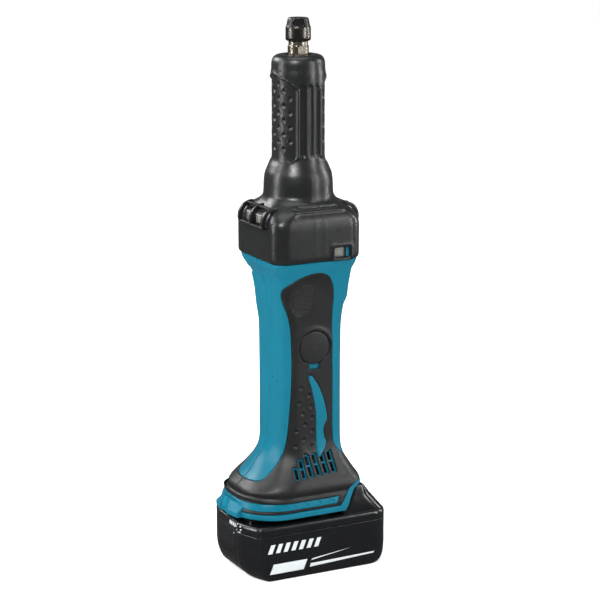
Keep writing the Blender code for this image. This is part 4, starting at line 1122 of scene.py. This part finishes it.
def make_casting():
    """The light-alloy casting with its four screw lugs, seen through the protector's windows."""
    block = square_skin([(232.9, 31.0, 8.0), (233.6, 31.6, 8.5), (256.0, 31.6, 8.5), (258.0, 31.2, 8.5),
                         (260.4, 27.6, 12.0), (262.6, 21.5, 21.3), (268.0, 20.8, 20.6), (290.0, 20.4, 20.2),
                         (298.0, 16.7, 16.5), (372.0, 16.6, 16.4), (372.7, 16.0, 15.8), (372.8, 14.4, 14.2)])
    inner = [(14.35, 372.8), (14.35, 291.0), (11.4, 290.0), (11.4, 253.0), (27.5, 253.0), (27.5, 233.0),
             (30.0, 232.9)]
    turn = np.linspace(0, 2 * math.pi, 128, endpoint=False)
    bore = [np.stack([r * np.cos(turn), r * np.sin(turn), np.full(128, z)], 1) for r, z in inner]
    pieces = [wrapped(block, np.linspace(0, block.top, 90), round_u((-2, 2, 128)), caps=False),
              stacked(bore, caps=False)]
    lug = rounded([(0, 240.0), (3.4, 240.0), (3.4, 259.4), (6.3, 259.4), (6.3, 265.9), (0, 265.9)], 0.8, 4)
    corners = [(sx, sy) for sx in (-1, 1) for sy in (-1, 1)]
    pieces += [turned(lug, 64, None, (sx * 30.4, sy * 7.8)) for sx, sy in corners]
    placed(gather("casting", pieces, ALLOY), "tool", "cast_alloy", "nose_casting")
    head = rounded([(0, 240.0), (1.9, 240.0), (1.9, 263.5), (3.8, 263.5), (3.8, 266.2), (2.1, 266.4),
                    (1.9, 264.8), (0, 264.6)], 0.3)
    hexagon = socket(lambda turn: 1.75 / np.cos((turn % (math.pi / 3)) - math.pi / 6), 1.6, 2.2, 264.2)
    for number, (sx, sy) in enumerate(corners, 1):
        screw = turned(head, 72, hexagon, (sx * 28.4, sy * 7.6))
        placed(gather(f"lug_screw_{number}", [screw], STEEL, sharp=30), "tool", "bright_steel",
               f"casting_screw_{number}")


# Small outside pieces ------------------------------------------------------------------------------------
def make_covers():
    """The two round brush-holder covers, slightly domed."""
    rim, edge_y, dome_y = 12.1, -24.1, -25.2
    profile = [(0, -22.8), (11.6, -22.8), (rim, -23.1), (rim, edge_y)]
    profile += [(rim - 0.7 * (1 - math.cos(t)), edge_y - 0.7 * math.sin(t))
                for t in np.radians([20, 40, 60, 80])]
    profile += [(r, dome_y + 0.35 * (r / 11.2) ** 2) for r in (11.0, 10.0, 9.0, 7.5, 6.0, 4.0, 2.0, 1.0)]
    profile.append((0, dome_y))
    points, faces = turned(profile, 96)
    disc = (np.stack([points[:, 0] + COVER_X, points[:, 2], -points[:, 1] + COVER_Z], 1), faces)
    for name, piece in (("front", disc), ("rear", flipped(disc))):
        placed(gather(f"cover_{name}", [piece], SOFT_GREY), "tool", "black_plastic", f"holder_cover_{name}")


def make_knob():
    """The slide switch's knob: a rounded saddle with cross ribs."""
    middle, reach, inside_x, rings = 208.4, 7.9, 23.3, []
    across, along = squared(64, 0.35)
    for dz in np.linspace(-reach, reach, 60):
        dish = 35.2 + 1.2 * (abs(dz) / reach) ** 2
        rib = 0.35 * max(0.0, math.cos(dz * 2 * math.pi / 2.2)) if abs(dz) < 5.6 else 0.0
        end = math.sqrt(max(0.0, 1 - max(0.0, (abs(dz) - 6.7) / 1.3) ** 2))
        x_out = 23.4 + (dish + rib - 23.4) * (0.86 + 0.14 * end)
        x = (inside_x + x_out) / 2 + across * (x_out - inside_x) / 2
        rings.append(np.stack([x, along * (7.0 + 0.7 * end), np.full(64, middle + dz)], 1))
    placed(gather("switch_saddle", [stacked(rings)], BLACK), "knob", "black_plastic", "switch_knob")


# Front tab of the foot -----------------------------------------------------------------------------------
# Sections of the tab from its middle out: y, the front's x, the height where it turns, the top's x and z.
TAB_ROWS = [(0.10, -60.4, 50.2, -57.4, 56.6), (5.0, -60.4, 50.2, -57.4, 56.6), (5.4, -61.7, 49.6, -57.8, 56.6),
            (17.6, -59.0, 49.8, -53.0, 54.2)]


def bevelled(work):
    faced_outward(work)
    edges = [e for e in work.edges if e.is_manifold and e.calc_face_angle() > 0.35]
    bmesh.ops.bevel(work, geom=edges, offset=0.45 * MM, segments=3, profile=0.6, affect="EDGES",
                    clamp_overlap=True)


def make_tab():
    """The sloped tab on the foot's -X end, in two halves that meet on the parting line."""
    half = stacked([[(x, -y, z) for x, z in ((-50.0, 45.9), (front + 0.9, 45.9), (front, 46.8), (front, turn_z),
                                             (top_x, top_z), (-50.0, top_z))]
                    for y, front, turn_z, top_x, top_z in TAB_ROWS])
    made = reworked(gather("foot_tab", [half, flipped(half)], TEAL, sharp=60), bevelled)
    made.data.shade_smooth()
    made.data.set_sharp_from_angle(angle=math.radians(24))
    placed(made, "tool", "teal_shell")


# Battery -------------------------------------------------------------------------------------------------
LOWER = Skin([(0.0, -45.6, 48.2, 34.4, 13.5, 8.5), (0.35, -47.6, 50.6, 35.7, 15.0, 9.5),
              (1.6, -49.8, 52.8, 36.7, 17.0, 10.4), (5.5, -53.6, 55.6, 37.35, 19.0, 11.8),
              (11.0, -56.2, 56.6, 37.5, 20.0, 12.0), (17.0, -57.4, 57.0, 37.5, 20.0, 12.0),
              (30.0, -57.5, 57.0, 37.5, 20.0, 12.0), (34.3, -57.5, 57.0, 37.5, 20.0, 12.0),
              (34.7, -57.2, 56.7, 37.2, 19.7, 11.7), (34.75, -56.6, 56.1, 36.6, 19.1, 11.1)], cut=True)
UPPER = Skin([(34.95, -56.6, 56.1, 36.6, 19.1, 11.1), (35.0, -57.2, 56.7, 37.2, 19.7, 11.7),
              (35.5, -57.5, 57.0, 37.5, 20.0, 12.0), (38.8, -57.5, 57.0, 37.5, 20.0, 12.0),
              (40.2, -57.3, 56.7, 37.2, 19.8, 11.8), (41.3, -56.6, 56.0, 36.4, 19.0, 11.0),
              (42.0, -55.4, 54.8, 35.2, 18.0, 10.0), (41.9, -54.2, 53.6, 34.2, 17.0, 9.4),
              (41.2, -53.4, 53.0, 33.4, 16.6, 9.0), (41.1, -46.0, 45.0, 26.0, 10.0, 4.0),
              (41.1, -20.0, 20.0, 12.0, 6.0, 3.0)], cut=True)
GAUGE_Y, GAUGE_Z = -17.4, 38.8


def lower_relief(u, v):
    """A ribbed panel and a slot on the pack's -X end, and grooves on its +X end."""
    z = LOWER.rules[0](v)
    x, y = LOWER.base(u, v)[..., 0], LOWER.base(u, v)[..., 1]
    at_end = fade(-x, 54.0, 56.5) * fade(z, 3.0, 9.0)
    panel = fade(-np.abs(y), -13.4, -12.6) * fade(z, 8.0, 9.0) * fade(-z, -33.0, -32.2)
    grooves = np.clip(np.cos(y * 2 * math.pi / 3.1) * 3 - 1.4, 0, 1)
    height = at_end * (0.5 * panel - 0.45 * panel * grooves * fade(-z, -22, -20))
    height -= at_end * 1.6 * fade(-np.hypot(y + 18.8, (z - 10.5) / 2.6), -1.25, -0.8)
    height -= fade(x, 54.0, 56.0) * 0.5 * np.clip(np.cos(y * 2 * math.pi / 5.0) * 3 - 1.6, 0, 1) \
        * fade(-np.abs(y), -18, -16) * fade(z, 12, 14) * fade(-z, -30, -28)
    return height


HUMP_X = 36.0  # the hump lies wholly on the +X side, so its skin is built round this x


def make_battery():
    """The pack's lower case with its ribbed ends, and its upper case with the rail deck and the hump."""
    u = round_u((-2.0, -1.35, 26), (-1.35, -0.62, 230), (-0.62, 0.7, 60), (0.7, 1.3, 130), (1.3, 2.0, 26))
    low, high = LOWER.v_at(9.0), LOWER.v_at(34.0)
    v = np.unique(np.concatenate([np.linspace(0, low, 34), np.linspace(low, high, 90),
                                  np.linspace(high, LOWER.top, 14)]))
    placed(gather("pack_lower", [wrapped(LOWER, v, u, lower_relief)], GLOSS, sharp=50), "battery", "gloss_case",
           "battery_case_lower")
    lip = UPPER.keys[6]
    v = np.unique(np.concatenate([np.linspace(0, lip, 40), np.linspace(lip, UPPER.top, 30)]))
    deck = Skin([(z, -49.6 + inset, 24.0 - inset, y, r, b) for z, inset, y, r, b in (
        (40.8, 0.0, 20.3, 3.0, 1.0), (51.0, 0.0, 20.3, 3.0, 1.0), (51.2, 0.0, 24.1, 3.0, 1.0),
        (55.6, 0.0, 24.1, 3.0, 1.0), (56.2, 0.4, 23.7, 2.6, 0.8))])
    hump = Skin([(z, x0 - HUMP_X, x1 - HUMP_X, y, r, b) for z, x0, x1, y, r, b in (
        (40.9, 18.9, 56.2, 35.0, 4.0, 9.0), (42.2, 19.0, 55.2, 35.0, 4.0, 9.2),
        (46.0, 20.6, 51.8, 34.9, 4.0, 9.2), (50.0, 22.2, 48.4, 34.5, 4.0, 9.0),
        (54.0, 24.1, 45.0, 33.8, 4.0, 8.6), (57.5, 25.9, 42.0, 33.2, 4.0, 8.0),
        (59.8, 27.2, 39.9, 32.7, 4.0, 7.0), (61.4, 28.6, 38.4, 32.0, 3.6, 5.6),
        (62.2, 29.8, 37.2, 31.0, 3.0, 4.4), (62.45, 31.4, 35.8, 29.4, 2.0, 2.2))])
    points, faces = wrapped(hump, np.linspace(0, hump.top, 46), round_u((-2, 2, 150)))
    pieces = [wrapped(UPPER, v, round_u((-2.0, 2.0, 220))),
              wrapped(deck, np.linspace(0, deck.top, 16), round_u((-2, 2, 80))),
              (points + (HUMP_X, 0, 0), faces)]
    placed(gather("pack_upper", pieces, GLOSS, sharp=50), "battery", "gloss_case", "battery_case_upper")


def case_print(*points):
    """A thin pale print on the pack's long side, from x, z corners."""
    return patch(LOWER, [front_line(spaced(points, 1.0), LOWER)], None, 1.6, 0.04, 0.12, floor=0.09)


def make_prints():
    """Plain marks only: a slanted badge, a tapering stripe and a row of slanted bars on each long side."""
    marks = [case_print((-41.6, 6.2), (-14.6, 6.2), (-11.6, 13.6), (-38.9, 13.6)),
             case_print((-9.6, 7.2), (43.4, 9.4), (43.9, 10.6), (-8.8, 9.8)),
             case_print((-8.4, 12.2), (24.0, 16.6), (-7.4, 13.4))]
    marks += [case_print((x, 22.0), (x + 3.4, 22.0), (x + 6.0, 28.6), (x + 2.6, 28.6))
              for x in (-43.4 + 6.2 * k for k in range(7))]
    placed(gather("pack_marks", marks + [flipped(mark) for mark in marks], PRINT), "battery", "gloss_case")


def block(x0, x1, ys, zs, round_by):
    """A small block with rounded corners and edges, as rings stacked along x."""
    (y, half_y), (z, half_z) = (((a + b) / 2, (b - a) / 2) for a, b in (ys, zs))
    across, up = squared(40, 0.25)
    layers = ((x0, round_by), (x0 + round_by * 0.3, round_by * 0.3), (x0 + round_by, 0.0), (x1 - round_by, 0.0),
              (x1, round_by))
    return stacked([np.stack([np.full(40, x), y + across * (half_y - inset), z + up * (half_z - inset)], 1)
                    for x, inset in layers])


def pointing_left(profile, count, y, z):
    """A turned piece whose axis points along -X."""
    points, faces = turned(profile, count)
    return np.stack([-points[:, 2], points[:, 0] + y, points[:, 1] + z], 1), faces


def make_gauge():
    """The charge gauge on the pack's -X end: a dark window with four bars, a button and a ring of dots."""
    made = gather("charge_window", [block(-57.5, -56.6, (-14.1, -1.9), (36.9, 40.9), 0.35)], BLACK)
    placed(made, "battery", "gauge_red", "gauge_lens")
    bars = [block(-57.75, -57.3, (y, y + 1.5), (37.4, 40.4), 0.2) for y in (-13.0, -10.2, -7.4, -4.6)]
    placed(gather("charge_bars", bars, PRINT), "battery", "gauge_red")
    dome = [(0, 55.4), (2.1, 55.4), (2.1, 57.2), (1.9, 57.6), (1.3, 57.8), (0.6, 57.88), (0, 57.9)]
    button = pointing_left(dome, 64, GAUGE_Y, GAUGE_Z)
    placed(gather("charge_button", [button], BLACK), "gauge", "black_plastic", "gauge_button")
    dot = [(0, 56.6), (0.55, 56.6), (0.55, 57.45), (0.3, 57.6), (0, 57.62)]
    places = [(GAUGE_Y + 3.2 * math.cos(t), GAUGE_Z - 0.6 + 3.2 * math.sin(t))
              for t in (math.radians(45.0 * k + 10) for k in range(8))]
    dots = [pointing_left(dot, 20, y, z) for y, z in places if z < 41.0]
    dots.append(block(-57.95, -57.2, (-11.0, -9.8), (28.6, 32.8), 0.3))
    placed(gather("charge_dots", dots, PRINT), "battery", "gloss_case")


def make_inner():
    """Dark sheets behind the vents, painted shade for the dark inside of the body, and the shell's edge seen
    through the protector's window.
    """
    def sheet(outline, y0, y1):
        return slab(outline, [(y0, 0.985), (y0 + 0.15, 1.0), (y1 - 0.15, 1.0), (y1, 0.985)])

    # Two flat carbon-black sheets: painted shade seen through the vents.
    duct = [(-30.0, 64.5), (26.0, 64.5), (23.0, 80.0), (20.0, 97.0), (-20.0, 97.0), (-24.0, 82.0)]
    walls = [sheet(duct, y - 0.6, y + 0.6) for y in (-16.4, 16.4)]
    placed(gather("vent_shade_sheets", walls, CARBON_AND_SHADE), "tool", "black_plastic")
    strip = sheet(round_box(21.4, 24.6, 233.0, 243.4, 0.8), -33.5, -32.5)
    placed(gather("shell_edge", [strip], TEAL), "tool", "teal_shell")


def make_release():
    """The pack's release button: a ribbed wedge behind the hump, with its arm and hook."""
    wedge = [(38.1, 48.7), (49.3, 48.7), (49.8, 49.4), (49.6, 50.4), (39.9, 60.3), (39.2, 60.7), (38.1, 60.7)]
    layers = [(12.0, 0.95), (11.7, 0.985), (11.0, 1.0), (0.0, 1.0), (-11.0, 1.0), (-11.7, 0.985), (-12.0, 0.95)]
    pieces = [stacked([[(43.0 + (x - 43.0) * share, y, 54.0 + (z - 54.0) * share) for x, z in wedge]
                       for y, share in layers])]
    for k in range(5):
        t = 0.2 + 0.15 * k
        x, z = 49.4 + (39.9 - 49.4) * t, 50.5 + (60.2 - 50.5) * t
        rib = smooth_path([(x - 0.2, y, z - 0.2) for y in np.linspace(-9.0, 9.0, 10)], 1.2)
        pieces.append(swept(rib, 1.0, 1.0, (0, 0, 1), 2.4, 16))
    arm = [(11.2, 51.9), (38.4, 51.9), (38.4, 55.4), (17.0, 55.4), (16.6, 59.4), (16.0, 59.8), (13.4, 59.8),
           (12.2, 55.4), (11.2, 55.2)]
    pieces.append(stacked([[(x, y, z) for x, z in arm] for y in (-7.1, 0.0, 7.1)]))
    made = reworked(gather("pack_release", pieces, BLACK, sharp=40), faced_outward)
    placed(made, "release", "black_plastic", "release_button")


def make_spring():
    """The coil spring under the release button."""
    turns, low, high, r = 3.0, 43.8, 47.8, 2.25
    at = np.linspace(0, 1, 120)
    helix = [(43.6 + r * math.cos(2 * math.pi * turns * t), r * math.sin(2 * math.pi * turns * t),
              low + (high - low) * t) for t in at]
    spring = gather("release_spring", [swept(np.array(helix), 0.7, 0.7, (0, 0, 1), 2.0, 12)], STEEL)
    placed(spring, "battery", "bright_steel", "button_spring")
    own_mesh(spring)


def make_screws():
    """Recessed housing screws on the +Y side: a domed head with a star socket."""
    for number, (x, z) in enumerate(SCREWS, 1):
        deep, top = sorted(corner[1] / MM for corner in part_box(f"housing_screw_{number}"))
        profile = [(0, deep), (1.4, deep), (1.4, top - 2.4), (3.4, top - 2.2), (3.5, top - 1.6),
                   (3.3, top - 0.8), (2.6, top - 0.25), (1.8, top), (1.7, top - 0.2), (1.55, top - 1.4),
                   (0, top - 1.5)]
        star = socket(lambda turn: 1.45 + 0.28 * np.cos(turn * 6), 1.5, 1.75, top - 1.45)
        points, faces = turned(profile, 72, star)
        points = np.stack([points[:, 0] + x, points[:, 2], points[:, 1] + z], 1)
        screw = (points, [face[::-1] for face in faces])
        placed(gather(f"case_screw_{number}", [screw], DARK_STEEL, sharp=30), "tool", "dark_steel",
               f"housing_screw_{number}")


# Camera, light and floor ---------------------------------------------------------------------------------
# Each lamp: its name, place and size in metres, and power in watts.
LAMPS = (("key", (-0.95, -0.95, 1.25), (0.45, 0.6), 26.0),
         ("left_strip", (-1.5, 0.35, 0.6), (0.12, 1.2), 15.0),
         ("right_strip", (1.0, -1.3, 0.6), (0.16, 1.2), 15.0),
         ("side_strip", (1.55, -0.25, 0.6), (0.12, 1.2), 13.0),
         ("back", (-0.75, 1.05, 1.0), (0.9, 0.6), 20.0))
FLOOR_REACH = 12000


def make_stage():
    """The pale floor, the soft lights and the camera; the floor glows a little and isn't mirrored."""
    corners = [(x * FLOOR_REACH, y * FLOOR_REACH, 0) for x, y in ((-1, -1), (1, -1), (1, 1), (-1, 1))]
    pale = look("pale_floor", (0.93, 0.93, 0.93), 0.8, vary=0.01, grain=0.05)
    floor = mesh_object("floor", corners, [(0, 1, 2, 3)], pale, smooth=False)
    floor.visible_glossy = False
    glow = pale.node_tree.nodes["Principled BSDF"]
    glow.inputs["Emission Color"].default_value = (1.0, 1.0, 1.0, 1.0)
    glow.inputs["Emission Strength"].default_value = 0.42
    scene = bpy.context.scene
    scene.world = scene.world or bpy.data.worlds.new("world")
    scene.world.use_nodes = True
    backdrop = scene.world.node_tree.nodes["Background"]
    backdrop.inputs["Color"].default_value = (1.0, 1.0, 1.0, 1.0)
    backdrop.inputs["Strength"].default_value = 0.16
    sun = bpy.data.lights.new("overhead", "SUN")
    sun.energy = 1.5
    sun.angle = math.radians(50.0)
    added("overhead", sun).location = (0, 0, 3)
    for name, place, size, power in LAMPS:
        data = bpy.data.lights.new(name, "AREA")
        data.shape = "RECTANGLE"
        data.size, data.size_y = size
        data.energy = power
        lamp = added(name, data)
        lamp.location = place
        lamp.rotation_euler = (Vector((0, 0, 0.2)) - Vector(place)).to_track_quat("-Z", "Y").to_euler()
    eye = added("camera", bpy.data.cameras.new("camera"))
    eye.location = (-0.6583, -1.2920, 0.535)
    eye.rotation_euler = (math.radians(76.915), 0.0, math.radians(-27.0))
    eye.data.lens = 123.1
    eye.data.sensor_width = 36.0
    eye.data.shift_x = 0.003
    scene.camera = eye
    scene.view_settings.view_transform = "Standard"


dress_frame()
make_clamshell()
make_boot()
make_nut()
make_spindle()
make_casting()
make_covers()
make_knob()
make_tab()
make_battery()
make_prints()
make_gauge()
make_release()
make_spring()
make_screws()
make_inner()
make_stage()
